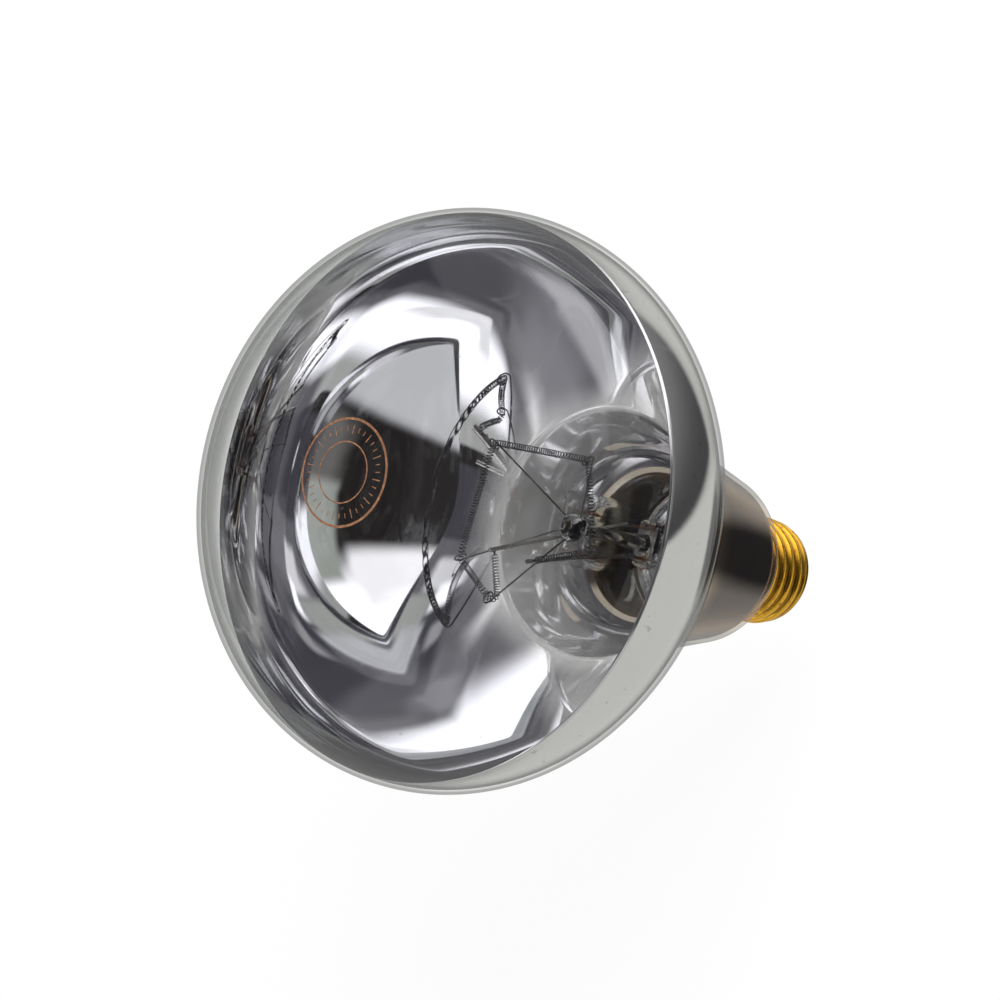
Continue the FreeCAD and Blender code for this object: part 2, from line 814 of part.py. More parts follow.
def level_edge(face, highest):
    """The flat edge of a shell surface at its rim or at its foot."""
    flat = [edge for edge in face.Edges if edge.BoundBox.ZLength < FLAT]
    flat.sort(key=lambda edge: edge.BoundBox.ZMin)
    return Part.Wire([flat[-1 if highest else 0]])


def make_screw_shell():
    """Brass shell with a rolled round thread, drawn in to the insulator at its foot."""
    outer, inner = shell_surface(0.0), shell_surface(sheet_metal.value)
    faces = [outer, inner]
    for highest in (False, True):
        rings = [level_edge(outer, highest), level_edge(inner, highest)]
        faces += Part.makeFace(rings, "Part::FaceMakerBullseye").Faces
    skin = Part.makeShell(faces)
    skin.sewShape()
    shell = doc.addObject("Part::Feature", "screw_shell")
    shell.Shape = Part.makeSolid(skin)
    shell.Label = "screw_shell"
    return shell


def make_cap_insulator():
    """Black glass cast into the foot of the shell, with a hole for the centre lead."""
    body = new_body("cap_insulator")
    gap = size("insulator_gap")
    foot_radius = size("shell_end_diameter") / 2
    contact_top = size("contact_thickness")
    cast = foot_radius - sheet_metal - gap
    hole = size("wire_hole_diameter") / 2
    turned(body, "cast_glass", [
        (hole, contact_top),
        (size("insulator_foot_diameter") / 2, contact_top),
        (foot_radius + sheet_metal, size("shell_end_height")),
        (cast, size("shell_end_height")),
        (cast, size("insulator_top")),
        (hole, size("insulator_top")),
    ])
    return body


def make_contact_plate():
    body = new_body("contact_plate")
    radius, thick = size("contact_diameter") / 2, size("contact_thickness")
    edge, hole = size("contact_edge"), size("contact_hole") / 2
    turned(body, "plate", [
        (hole, 0),
        (radius - edge, 0, edge, -1),
        (radius, edge),
        (radius, thick),
        (hole, thick),
    ])
    return body


def make_centre_solder():
    """Solder that fills the eyelet of the contact plate and meets the end of the lead."""
    body = new_body("centre_solder")
    eyelet, hole = size("contact_hole") / 2, size("wire_hole_diameter") / 2
    thick = size("contact_thickness")
    turned(body, "filled_eyelet", [
        (0, 0),
        (eyelet, 0),
        (eyelet, thick),
        (hole, thick),
        (hole, size("solder_depth")),
        (0, size("solder_depth")),
    ])
    return body


def make_side_solder():
    """Drop of solder on the rim of the shell, under the end of the outer lead."""
    drop = doc.addObject("Part::Ellipsoid", "solder_drop")
    depth, half = size("side_solder_depth"), size("side_solder_width") / 2
    for name, measure in (("Radius1", depth), ("Radius2", half), ("Radius3", half)):
        setattr(drop, name, measure.value)
        drop.setExpression(name, measure.formula)
    drop.Angle1, drop.Angle2 = -90.0, 0.0
    drop.Placement.Base = FreeCAD.Vector(skirt_radius.value, 0, solder_top().value)
    drop.setExpression("Placement.Base.x", skirt_radius.formula)
    drop.setExpression("Placement.Base.z", solder_top().formula)
    skirt = doc.addObject("Part::Cylinder", "skirt_core")
    skirt.Radius, skirt.Height = skirt_radius.value, rim.value
    skirt.setExpression("Radius", skirt_radius.formula)
    skirt.setExpression("Height", rim.formula)
    solder = doc.addObject("Part::Cut", "side_solder")
    solder.Base, solder.Tool = drop, skirt
    solder.Label = "side_solder"
    solder.Placement = FreeCAD.Placement(
        FreeCAD.Vector(), FreeCAD.Rotation(FreeCAD.Vector(0, 0, 1), side_angle))
    return solder


def make_cap_cement():
    """Cement between the shell and the neck, slotted for the outer lead."""
    body = new_body("cap_cement")
    low = rim - size("cement_depth")
    gap = size("cement_gap")
    lip = rim + size("rim_gap")
    step = size("thread_finish") + size("thread_fade")
    turned(body, "filling", [
        (seal_outside, low),
        (thread_root - sheet_metal - gap, low),
        (thread_root - sheet_metal - gap, step),
        (skirt_radius - sheet_metal - gap, step + gap),
        (skirt_radius - sheet_metal - gap, rim),
        (skirt_radius - gap, rim),
        (skirt_radius - gap, lip),
        (seal_outside, lip),
    ])
    slot = turned(body, "wire_slot", [
        (seal_outside - gap, low - OVERCUT),
        (skirt_radius + OVERCUT, low - OVERCUT),
        (skirt_radius + OVERCUT, lip + OVERCUT),
        (seal_outside - gap, lip + OVERCUT),
    ], cut=True, angle=size("cement_slot_angle").value)
    slot.Midplane = True
    slot.setExpression("Angle", size("cement_slot_angle").formula)
    body.Placement = FreeCAD.Placement(
        FreeCAD.Vector(), FreeCAD.Rotation(FreeCAD.Vector(0, 0, 1), side_angle))
    return body


supports = [make_support_wire(number, name, centre)
            for number, (name, centre) in enumerate(zip(HOOKS, eye_centres()), 1)]
pieces = [
    make_envelope(),
    make_mirror_coating(),
    make_stem_flare(),
    make_exhaust_tube(),
    make_arbor_rod(supports),
]
leads = [make_lead_wire(side, sign) for side, sign in SIDES]
pieces += [make_dumet_seal(side, sign) for side, sign in SIDES] + leads
pieces += [make_outer_lead_a(), make_outer_lead_b(), make_filament(leads)] + supports
pieces += [
    make_screw_shell(),
    make_cap_insulator(),
    make_contact_plate(),
    make_centre_solder(),
    make_side_solder(),
    make_cap_cement(),
]
doc.recompute()

for thing in doc.Objects:
    if "Invalid" in thing.State or "Error" in thing.State:
        raise RuntimeError(f"{thing.Name} did not build: {thing.State}")
for piece in pieces:
    shape = piece.Shape
    if shape.isNull() or not shape.isValid() or shape.Volume <= 0:
        raise RuntimeError(f"{piece.Label} has no valid solid")

os.makedirs("parts", exist_ok=True)
for piece in pieces:
    piece.Shape.exportStep(f"parts/{piece.Label}.step")
    box = piece.Shape.BoundBox
    print(f"{piece.Label}: {len(piece.Shape.Solids)} solid, {piece.Shape.Volume:.2f} mm3, "
          f"z {box.ZMin:.2f} to {box.ZMax:.2f}, x {box.XMin:.2f} to {box.XMax:.2f}")
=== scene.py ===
import math

import bpy
from mathutils import Matrix, Vector


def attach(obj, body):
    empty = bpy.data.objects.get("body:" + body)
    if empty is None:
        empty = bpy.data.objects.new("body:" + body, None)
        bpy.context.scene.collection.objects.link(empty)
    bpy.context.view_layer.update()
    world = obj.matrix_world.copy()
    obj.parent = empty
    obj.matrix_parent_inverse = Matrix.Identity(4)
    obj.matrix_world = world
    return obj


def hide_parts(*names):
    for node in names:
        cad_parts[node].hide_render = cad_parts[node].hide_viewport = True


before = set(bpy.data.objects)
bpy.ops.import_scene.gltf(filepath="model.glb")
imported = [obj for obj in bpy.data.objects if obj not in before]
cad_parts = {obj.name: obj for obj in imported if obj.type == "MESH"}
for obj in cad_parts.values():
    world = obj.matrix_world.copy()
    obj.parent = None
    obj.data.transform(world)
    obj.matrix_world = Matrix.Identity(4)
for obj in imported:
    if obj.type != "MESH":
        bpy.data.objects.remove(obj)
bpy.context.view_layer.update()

bl_info = {
    "name": "Reflector heat lamp",
    "version": (1, 0, 0),
    "blender": (4, 5, 0),
    "location": "3D View > Sidebar > Heat Lamp",
    "description": "Finishes the pieces of a reflector heat lamp and lights it in a small studio",
    "category": "Object",
}

MM = 0.001


# Settings

def length(name, text, value):
    return bpy.props.FloatProperty(
        name=name, description=text, default=value * MM, unit="LENGTH", precision=5)


def degrees(name, text, value):
    return bpy.props.FloatProperty(
        name=name, description=text, default=math.radians(value), subtype="ANGLE")


def colour(name, text, value):
    return bpy.props.FloatVectorProperty(
        name=name, description=text, default=value, size=3, min=0.0, max=1.0, subtype="COLOR")


class LampGlassSizes(bpy.types.PropertyGroup):
    diameter: length("Bulb diameter", "Widest outside diameter of the bulb", 125)
    widest: length("Widest height", "Height of the widest circle above the end contact", 130.5)
    face: length("Face radius", "Radius of the domed face", 123.2)
    edge: length("Face edge radius", "Radius that leads from the face to the widest circle", 32.5)
    bowl_edge: length("Bowl edge radius", "Radius just behind the widest circle", 31.3)
    flank: length("Bowl flank radius", "Radius of the bowl's long flank", 87)
    first_turn: degrees("Bowl edge turn", "How far the bowl edge radius turns", 28)
    cone: degrees("Bowl cone angle", "Angle of the cone behind the bowl", 39.5)
    mouth: length("Neck mouth radius", "Hollow radius between the cone and the neck", 4.5)
    taper: degrees("Neck taper", "Angle of the neck's side", 11.5)
    neck: length("Neck diameter", "Diameter of the neck over its shoulder", 41.8)
    shoulder: length("Neck shoulder radius", "Radius at the end of the neck", 8.8)
    bottom: length("Neck bottom", "Height of the underside of the neck's shoulder", 27.6)
    tube: length("Seal tube diameter", "Diameter of the tube inside the cap", 21.8)
    tube_end: length("Seal tube end", "Height of the lower end of that tube", 18)
    wall: length("Glass wall", "Thickness of the blown glass", 1)
    film_gap: length("Film gap", "Hair's breadth between the glass and the film", 0.02)
    film: length("Film thickness", "Distance from the glass to the film's bright side", 0.08)
    film_turn: degrees("Film run-out", "How far the film runs round the neck's shoulder", 78)
    rim_rise: length("Film rim rise", "Height of the film's rim over the widest circle", 7.7)


class LampCapSizes(bpy.types.PropertyGroup):
    height: length("Cap height", "Height of the shell's rim", 27)
    foot: length("Shell foot", "Height of the shell's lower edge", 4.4)
    foot_diameter: length("Foot diameter", "Outside diameter at the lower edge", 18)
    skirt: length("Skirt diameter", "Outside diameter of the plain skirt", 25.7)
    major: length("Thread crest diameter", "Outside diameter over the thread", 26.3)
    minor: length("Thread root diameter", "Outside diameter between the threads", 24.1)
    pitch: length("Thread pitch", "Rise of the thread in one turn", 3.629)
    first_crest: length("First crest", "Height of a crest on the +X side", 7.4)
    start: length("Thread start", "Height at which the thread begins", 6.8)
    finish: length("Thread finish", "Height at which the thread ends", 22)
    fade: length("Thread run-out", "Height over which the thread grows or fades", 1.6)
    sheet: length("Sheet thickness", "Thickness of the rolled brass", 0.3)


class LampCoilSizes(bpy.types.PropertyGroup):
    height: length("Coil height", "Height of the filament above the end contact", 104.5)
    outside: length("Coil diameter", "Outside diameter of the wound coil", 1.6)
    wire: length("Wire diameter", "Diameter of the tungsten wire", 0.22)
    bend: length("Coil bend", "Radius of the coil's line round each hook", 1.4)
    turns: bpy.props.IntProperty(
        name="Turns", description="Turns of the whole coil", default=168, min=20, max=400)


class LampColours(bpy.types.PropertyGroup):
    film: colour("Bright film", "Aluminium film seen from inside", (0.86, 0.86, 0.87))
    film_back: colour("Film back", "Aluminium film seen through the glass", (0.78, 0.78, 0.77))
    film_burnt: colour("Burnt film", "Thin brown film at the end of the neck", (0.1, 0.07, 0.048))
    brass: colour("Brass", "Rolled brass of the shell", (0.93, 0.51, 0.045))
    brass_stain: colour("Brass stain", "Darker stains on the brass", (0.4, 0.12, 0.012))
    copper: colour("Copper", "Copper skin of the sealing wires", (0.72, 0.33, 0.17))
    nickel: colour("Nickel", "Inner leads", (0.55, 0.53, 0.5))
    tungsten: colour("Tungsten", "Wound filament", (0.13, 0.125, 0.13))
    molybdenum: colour("Molybdenum", "Support wires", (0.2, 0.19, 0.185))
    ink: colour("Face ink", "Fired print on the face", (0.17, 0.075, 0.035))
    glass: colour("Glass tint", "Light that passes the stem glass", (0.95, 0.965, 0.95))
    insulator: colour("Cap insulator", "Black glass in the cap's foot", (0.008, 0.008, 0.01))
    solder: colour("Solder", "Soft solder", (0.5, 0.5, 0.5))
    cement: colour("Cement", "Baked cement under the neck", (0.52, 0.43, 0.3))


class LampStudio(bpy.types.PropertyGroup):
    view_distance: length("View distance", "From the camera to the widest circle's centre", 600)
    lens: bpy.props.FloatProperty(
        name="Lens", description="Focal length on a 36 mm sensor", default=101.6, unit="CAMERA")
    floor_drop: length("Floor drop", "How far the floor lies under the end contact", 40)
    tent: colour("Tent", "Tone of the tent between its cards", (0.17, 0.168, 0.186))


# Heights in metres between which a finish of the glass or the film grows from none to full,
# and for the painted shade in the thread's root the radii

BARE_GLASS = (0.135, 0.139)
SMOKED_GLASS = (0.078, 0.064)
HAZE_TOP = (0.085, 0.078)
HAZE_FOOT = (0.048, 0.064)
BURNT_END = (0.036, 0.03)
BURNT_NECK = (0.068, 0.058)
RUSTY_NECK = (0.037, 0.03)
ROOT_SHADE_RADII = (0.0129, 0.0121)

# What each finish adds to the tones of the settings, with a painted reflection and painted
# shade among them: first what the glass lets through

CLEAR_TINT = (0.985, 0.985, 0.98)
EDGE_TINT = (0.62, 0.63, 0.62)
SMOKE_TINT = (0.78, 0.73, 0.66)
LIMB_TINT = (0.57, 0.58, 0.57)
DUST = (0.55, 0.54, 0.52)
HAZE = (0.97, 0.97, 0.96)
CLOUD = (0.84, 0.84, 0.83)
SCRATCH = (0.93, 0.93, 0.93)
SPECK = (0.45, 0.45, 0.43)
BURNT_PATCH = (0.17, 0.125, 0.085)
RUST = (0.42, 0.2, 0.06)
# Painted reflection: the pale edge of the burnt neck where it is seen at a slant
PAINTED_EDGE_SHEEN = (0.62, 0.54, 0.46)
# Painted shade in the roots of the thread
PAINTED_ROOT_SHADE = (0.2, 0.07, 0.01)

GLASS_ROUGHNESS = 0.02


# Shader and geometry nodes

class Wire:
    """A node's socket that takes part in sums."""

    def __init__(self, tree, socket):
        self.tree = tree
        self.socket = socket

    def sum(self, operation, *values):
        return add_node(self.tree, "ShaderNodeMath", {"operation": operation},
                        dict(enumerate(values)))

    def __add__(self, other):
        return self.sum("ADD", self, other)

    def __radd__(self, other):
        return self.sum("ADD", other, self)

    def __sub__(self, other):
        return self.sum("SUBTRACT", self, other)

    def __rsub__(self, other):
        return self.sum("SUBTRACT", other, self)

    def __mul__(self, other):
        return self.sum("MULTIPLY", self, other)

    def __rmul__(self, other):
        return self.sum("MULTIPLY", other, self)

    def __pow__(self, other):
        return self.sum("POWER", self, other)


def add_node(tree, kind, settings=None, values=None, output=0):
    """A node of a kind, with its settings made first and then its sockets."""
    node = tree.nodes.new(kind)
    for name, setting in (settings or {}).items():
        setattr(node, name, setting)
    for name, value in (values or {}).items():
        socket = node.inputs[name]
        if isinstance(value, Wire):
            tree.links.new(value.socket, socket)
        elif socket.type == "RGBA" and len(value) == 3:
            socket.default_value = (*value, 1.0)
        else:
            socket.default_value = value
    return Wire(tree, node.outputs[output])


def ease(value, low, high, start=0.0, end=1.0):
    """A smooth step from start to end as the value goes from low to high."""
    return add_node(value.tree, "ShaderNodeMapRange", {"interpolation_type": "SMOOTHSTEP"},
                    {"Value": value, "From Min": low, "From Max": high,
                     "To Min": start, "To Max": end})


def blend_colours(factor, first, second):
    return add_node(factor.tree, "ShaderNodeMix", {"data_type": "RGBA"},
                    {"Factor": factor, 6: first, 7: second}, 2)


def blend_numbers(factor, first, second):
    return factor * (second - first) + first


def noise(tree, where, scale, detail=3.0, roughness=0.5):
    return add_node(tree, "ShaderNodeTexNoise", None,
                    {"Vector": where, "Scale": scale, "Detail": detail, "Roughness": roughness})


def vector_sum(tree, operation, *values):
    return add_node(tree, "ShaderNodeVectorMath", {"operation": operation},
                    dict(enumerate(values)))


def stretched(tree, where, factors):
    return vector_sum(tree, "MULTIPLY", where, factors)


def coordinate(where, axis):
    return add_node(where.tree, "ShaderNodeSeparateXYZ", None, {0: where}, axis)


def reach(across, along):
    """How far a point lies from the middle."""
    return (across * across + along * along) ** 0.5


def slant_of(tree):
    """Zero where a surface is seen square on, and one where it is seen edge on."""
    return add_node(tree, "ShaderNodeLayerWeight", None, {"Blend": 0.5}, "Facing")


def bump(height, distance, strength):
    return add_node(height.tree, "ShaderNodeBump", None,
                    {"Height": height, "Distance": distance, "Strength": strength})


def swayed(tree, where, scale, amount):
    """The surface's own direction, tilted a little this way and that in slow waves."""
    own = add_node(tree, "ShaderNodeNewGeometry", output="Normal")
    waves = add_node(tree, "ShaderNodeTexNoise", None,
                     {"Vector": where, "Scale": scale, "Detail": 0.0}, "Color")
    tilt = vector_sum(tree, "SUBTRACT", waves, (0.5, 0.5, 0.5))
    whole = vector_sum(tree, "ADD", own, stretched(tree, tilt, (amount, amount, amount)))
    return vector_sum(tree, "NORMALIZE", whole)


def principled(tree, values):
    return add_node(tree, "ShaderNodeBsdfPrincipled", None, values)


def mix_shaders(factor, first, second):
    return add_node(factor.tree, "ShaderNodeMixShader", None, {0: factor, 1: first, 2: second})


def see_through(tree, tint):
    return add_node(tree, "ShaderNodeBsdfTransparent", None, {"Color": tint})


def glow(tree, tone):
    return add_node(tree, "ShaderNodeEmission", None, {"Color": tone})


def ray(tree, kind):
    """One for a ray of this kind, and zero for others."""
    return add_node(tree, "ShaderNodeLightPath", output=f"Is {kind} Ray")


def show(shader, kind="ShaderNodeOutputMaterial"):
    """Links a shader to the output of its tree."""
    output = shader.tree.nodes.new(kind)
    shader.tree.links.new(shader.socket, output.inputs["Surface"])


def new_material(name):
    """An empty material, its tree and the place on the piece."""
    material = bpy.data.materials.new(name)
    material.use_nodes = True
    tree = material.node_tree
    tree.nodes.clear()
    return material, tree, add_node(tree, "ShaderNodeTexCoord", output="Object")


# Materials

def colours():
    return bpy.context.scene.lamp_colours


def clear_glass():
    """Thin blown glass: what is behind shows through, and each face adds its own gloss."""
    material, tree, where = new_material("blown_glass")
    gloss = principled(tree, {"Base Color": (1.0, 1.0, 1.0), "Metallic": 1.0,
                              "Roughness": GLASS_ROUGHNESS,
                              "Normal": swayed(tree, where, 38.0, 0.02)})
    height, slant = coordinate(where, "Z"), slant_of(tree)
    bare = ease(height, *BARE_GLASS)
    edge = ease(slant, 0.42, 0.6, 0.0, 0.55) * bare + ease(slant, 0.7, 0.82, 0.0, 0.45)
    clear = see_through(tree, CLEAR_TINT)
    for factor, tint in ((edge, EDGE_TINT), (ease(height, *SMOKED_GLASS), SMOKE_TINT),
                         (ease(slant, 0.79, 0.85), LIMB_TINT)):
        clear = mix_shaders(factor, clear, see_through(tree, tint))
    fresnel = add_node(tree, "ShaderNodeFresnel", None, {"IOR": 1.7})
    leaving = add_node(tree, "ShaderNodeNewGeometry", output="Backfacing")
    share = fresnel * (1.0 - leaving) * ease(slant, 0.78, 0.95, 0.8, 0.35)
    show(mix_shaders(share, clear, gloss))
    return material


def stem_glass():
    """Drawn glass with faint streaks along it."""
    material, tree, where = new_material("stem_glass")
    streaks = noise(tree, stretched(tree, where, (1.0, 1.0, 0.15)), 900.0, detail=2.0)
    show(principled(tree, {"Base Color": colours().glass, "Roughness": GLASS_ROUGHNESS,
                           "IOR": 1.52, "Transmission Weight": 1.0,
                           "Normal": bump(streaks, 0.0002, 0.4)}))
    return material


def bright_film():
    """Mirror side of the film, with slow waves from the blowing, dust and a hazy neck."""
    material, tree, where = new_material("bright_film")
    height = coordinate(where, "Z")
    dust = ease(noise(tree, where, 520.0, detail=1.0), 0.74, 0.79)
    haze = ease(height, *HAZE_TOP) * ease(height, *HAZE_FOOT)
    tone = blend_colours(dust * 0.4, colours().film, DUST)
    tone = blend_colours(ease(height, *BURNT_END) * 0.4, tone, colours().film_burnt)
    tone = blend_colours(haze, tone, HAZE)
    show(principled(tree, {"Base Color": tone, "Metallic": 1.0 - haze * 0.3,
                           "Roughness": 0.022 + dust * 0.1 + haze * 0.01,
                           "Normal": swayed(tree, where, 24.0, 0.022)}))
    return material


def film_back():
    """The film's back as it shows through the glass: paler and softer, with scratches, and
    burnt brown on the neck, where a painted reflection turns it pale at a slant."""
    material, tree, where = new_material("film_back")
    height = coordinate(where, "Z")
    scratch = noise(tree, stretched(tree, where, (1.0, 1.0, 0.06)), 700.0, roughness=0.6)
    cloud = noise(tree, where, 45.0)
    marks = ease(scratch, 0.62, 0.75)
    specks = ease(noise(tree, where, 430.0, detail=2.0), 0.68, 0.74)
    patch = ease(noise(tree, where, 75.0, detail=2.0), 0.42, 0.6)
    burnt = ease(height, *BURNT_NECK) * ease(cloud, 0.0, 0.5, 0.75)
    brown = blend_colours(patch, colours().film_burnt, BURNT_PATCH)
    tone = blend_colours(cloud, colours().film_back, CLOUD)
    tone = blend_colours(marks * 0.35, tone, SCRATCH)
    tone = blend_colours(specks * 0.5, tone, SPECK)
    tone = blend_colours(burnt, tone, brown)
    tone = blend_colours(ease(height, *RUSTY_NECK) * 0.7, tone, RUST)
    finish = {"Roughness": blend_numbers(burnt, 0.05 + cloud * 0.05 + marks * 0.1, 0.05),
              "Normal": bump(scratch, 0.00005, 0.1)}
    film = principled(tree, {"Base Color": tone, "Metallic": 1.0, **finish})
    # Painted reflection: the burnt neck turns pale where it is seen at a slant
    painted_pale_edge = principled(tree, {"Base Color": PAINTED_EDGE_SHEEN, "Metallic": 0.25, **finish})
    show(mix_shaders(burnt * ease(slant_of(tree), 0.67, 0.84, 0.0, 0.95), film, painted_pale_edge))
    return material


def drawn_metal(name, tone, roughness, stain, grain=1400.0):
    """Drawn wire: fine lines along it and a tone that drifts."""
    material, tree, where = new_material(name)
    lines = noise(tree, stretched(tree, where, (1.0, 1.0, 0.2)), grain)
    drift = ease(noise(tree, where, 160.0, detail=2.0), 0.4, 0.7)
    show(principled(tree, {"Base Color": blend_colours(drift, tone, stain), "Metallic": 1.0,
                           "Roughness": roughness + lines * 0.12,
                           "Normal": bump(lines, 0.00004, 0.5)}))
    return material


def rolled_brass():
    """Bright brass with water stains, and painted shade in the roots of the thread."""
    material, tree, where = new_material("rolled_brass")
    # Painted shade: darker where the thread's root lies
    root = ease(reach(coordinate(where, "X"), coordinate(where, "Y")), *ROOT_SHADE_RADII)
    blots = ease(noise(tree, where, 210.0, detail=4.0, roughness=0.6), 0.56, 0.68)
    cells = add_node(tree, "ShaderNodeTexVoronoi", {"feature": "F1"},
                     {"Vector": where, "Scale": 330.0}, "Distance")
    drawn = noise(tree, stretched(tree, where, (0.2, 0.2, 1.0)), 2200.0, detail=2.0)
    tone = blend_colours(blots * 0.35, colours().brass, colours().brass_stain)
    tone = blend_colours(root * 0.8, tone, PAINTED_ROOT_SHADE)
    tone = blend_colours(ease(cells, 0.2, 0.12) * 0.6, tone, colours().brass_stain)
    show(principled(tree, {"Base Color": tone, "Metallic": 1.0,
                           "Roughness": 0.17 + blots * 0.18 + drawn * 0.06,
                           "Normal": bump(drawn + blots * 0.4, 0.00005, 0.5)}))
    return material


def grained(name, tone, other, grain, rough, relief, metallic=0.0, clumps=None):
    """A material whose tone, gloss and relief all follow one noise. The grain is its scale,
    detail and roughness, the relief a bump's distance and strength, and clumps the levels
    between which one tone gives way to the other."""
    material, tree, where = new_material(name)
    pattern = noise(tree, where, *grain)
    factor = ease(pattern, *clumps) if clumps else pattern
    show(principled(tree, {"Base Color": blend_colours(factor, tone, other),
                           "Metallic": metallic, "Roughness": rough[0] + pattern * rough[1],
                           "Normal": bump(pattern, *relief)}))
    return material


def black_glass():
    return grained("black_glass", colours().insulator, (0.02, 0.02, 0.024),
                   (320.0, 3.0, 0.5), (0.12, 0.15), (0.0003, 0.3))


def soft_solder():
    return grained("soft_solder", colours().solder, (0.28, 0.28, 0.29),
                   (1500.0, 4.0, 0.6), (0.28, 0.3), (0.0002, 0.6), metallic=1.0)


def baked_cement():
    return grained("baked_cement", colours().cement, (0.3, 0.22, 0.14),
                   (2600.0, 4.0, 0.7), (0.8, 0.15), (0.0003, 0.8))


def fired_ink():
    return grained("fired_ink", colours().ink, (0.34, 0.17, 0.09),
                   (1800.0, 3.0, 0.5), (0.45, 0.2), (0.0001, 0.4), clumps=(0.45, 0.7))


# Meshes

# How finely the pieces are meshed: the length of a step along a profile, and how many
# columns or rows go round or along

GLASS_STEP, GLASS_COLUMNS = 1.6 * MM, 180
FILM_BACK_STEP, FILM_FRONT_STEP, FILM_COLUMNS = 1.6 * MM, 0.75 * MM, 288
SHELL_ROWS, FOOT_ROWS, SHELL_COLUMNS = 104, 10, 120
LEG_SIDES = 10


def link(item):
    bpy.context.scene.collection.objects.link(item)
    return item


def new_piece(name, points, faces, materials, smooth=True):
    mesh = bpy.data.meshes.new(name)
    mesh.from_pydata(points, [], faces)
    mesh.validate()
    for material in materials:
        mesh.materials.append(material)
    mesh.polygons.foreach_set("use_smooth", [smooth] * len(mesh.polygons))
    return link(bpy.data.objects.new(name, mesh))


def finish_piece(piece, slot_name, *nodes):
    """Attaches the piece to the root body and hides the CAD nodes it stands for, if any. The slot
    name is not used.
    """
    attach(piece, "root")
    if nodes:
        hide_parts(*nodes)


def dress(material, *nodes):
    """Gives CAD nodes a material."""
    for name in nodes:
        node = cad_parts[name]
        node.data.materials.clear()
        node.data.materials.append(material)


def turned_faces(rows, columns, closed_profile):
    """Faces of a turned surface whose points run row by row. The row that follows lies on the
    left of the way round, which turns the faces outwards for a profile from the top down."""
    faces = []
    last = rows if closed_profile else rows - 1
    for row in range(last):
        following = (row + 1) % rows
        for column in range(columns):
            onward = (column + 1) % columns
            faces.append((row * columns + column, following * columns + column,
                          following * columns + onward, row * columns + onward))
    return faces


def turn_profile(profile, columns):
    """Points of a profile of radii and heights turned round the axis."""
    points = []
    for radius, height in profile:
        for column in range(columns):
            angle = 2 * math.pi * column / columns
            points.append((radius * math.cos(angle), radius * math.sin(angle), height))
    return points


def cap_pole(points, faces, row, columns, height, upward):
    """Closes a ring of points on the axis with a fan."""
    points.append((0.0, 0.0, height))
    pole = len(points) - 1
    for column in range(columns):
        onward = (column + 1) % columns
        here, there = row * columns + column, row * columns + onward
        faces.append((pole, here, there) if upward else (pole, there, here))


def arc(centre, radius, start, finish, step):
    """Points of an arc in the plane of radii and heights, angles measured down from outward."""
    count = max(2, math.ceil(abs(finish - start) * abs(radius) / step))
    return [(centre[0] + radius * math.cos(start + (finish - start) * number / count),
             centre[1] - radius * math.sin(start + (finish - start) * number / count))
            for number in range(count + 1)]


def face_centre(glass):
    """Height of the centre of the face's dome."""
    edge_across = glass.diameter / 2 - glass.edge
    return glass.widest - math.sqrt((glass.face - glass.edge) ** 2 - edge_across ** 2)


def glass_profile(glass, inside, step):
    """Line of the blown glass, a distance inside its outer face, from the top of the face
    to the neck's shoulder. The tight curves get shorter steps."""
    radius = glass.diameter / 2
    edge_across, dome = radius - glass.edge, face_centre(glass)
    shoulder = (glass.neck / 2 - glass.shoulder, glass.bottom + glass.shoulder)
    bowl = (radius - glass.bowl_edge, glass.widest)
    offset = glass.bowl_edge - glass.flank
    flank = (bowl[0] + offset * math.cos(glass.first_turn),
             bowl[1] - offset * math.sin(glass.first_turn))
    cone = (flank[0] * math.cos(glass.cone) - flank[1] * math.sin(glass.cone)
            + glass.flank + glass.mouth)
    neck = (shoulder[0] * math.cos(glass.taper) - shoulder[1] * math.sin(glass.taper)
            + glass.shoulder + glass.mouth)
    turn = math.sin(glass.cone - glass.taper)
    mouth = ((neck * math.sin(glass.cone) - cone * math.sin(glass.taper)) / turn,
             (neck * math.cos(glass.cone) - cone * math.cos(glass.taper)) / turn)
    face_end = math.atan2(glass.widest - dome, edge_across)
    hollow = -(glass.mouth + inside)
    lines = [
        arc((0.0, dome), glass.face - inside, -math.pi / 2, -face_end, step),
        arc((edge_across, glass.widest), glass.edge - inside, -face_end, 0.0, step),
        arc(bowl, glass.bowl_edge - inside, 0.0, glass.first_turn, step),
        arc(flank, glass.flank - inside, glass.first_turn, glass.cone, step),
        arc(mouth, hollow, glass.cone, glass.taper, step / 3),
        arc(shoulder, glass.shoulder - inside, glass.taper, math.pi / 2, step / 2),
    ]
    profile = [lines[0][0]]
    for line in lines:
        profile += subdivided(profile[-1], line[0], step) + line[1:]
    return profile


def subdivided(start, finish, step):
    """Points between two ends of a straight run, with its far end."""
    run = math.dist(start, finish)
    if run < step / 10:
        return []
    count = max(1, math.ceil(run / step))
    return [(start[0] + (finish[0] - start[0]) * number / count,
             start[1] + (finish[1] - start[1]) * number / count)
            for number in range(1, count + 1)]


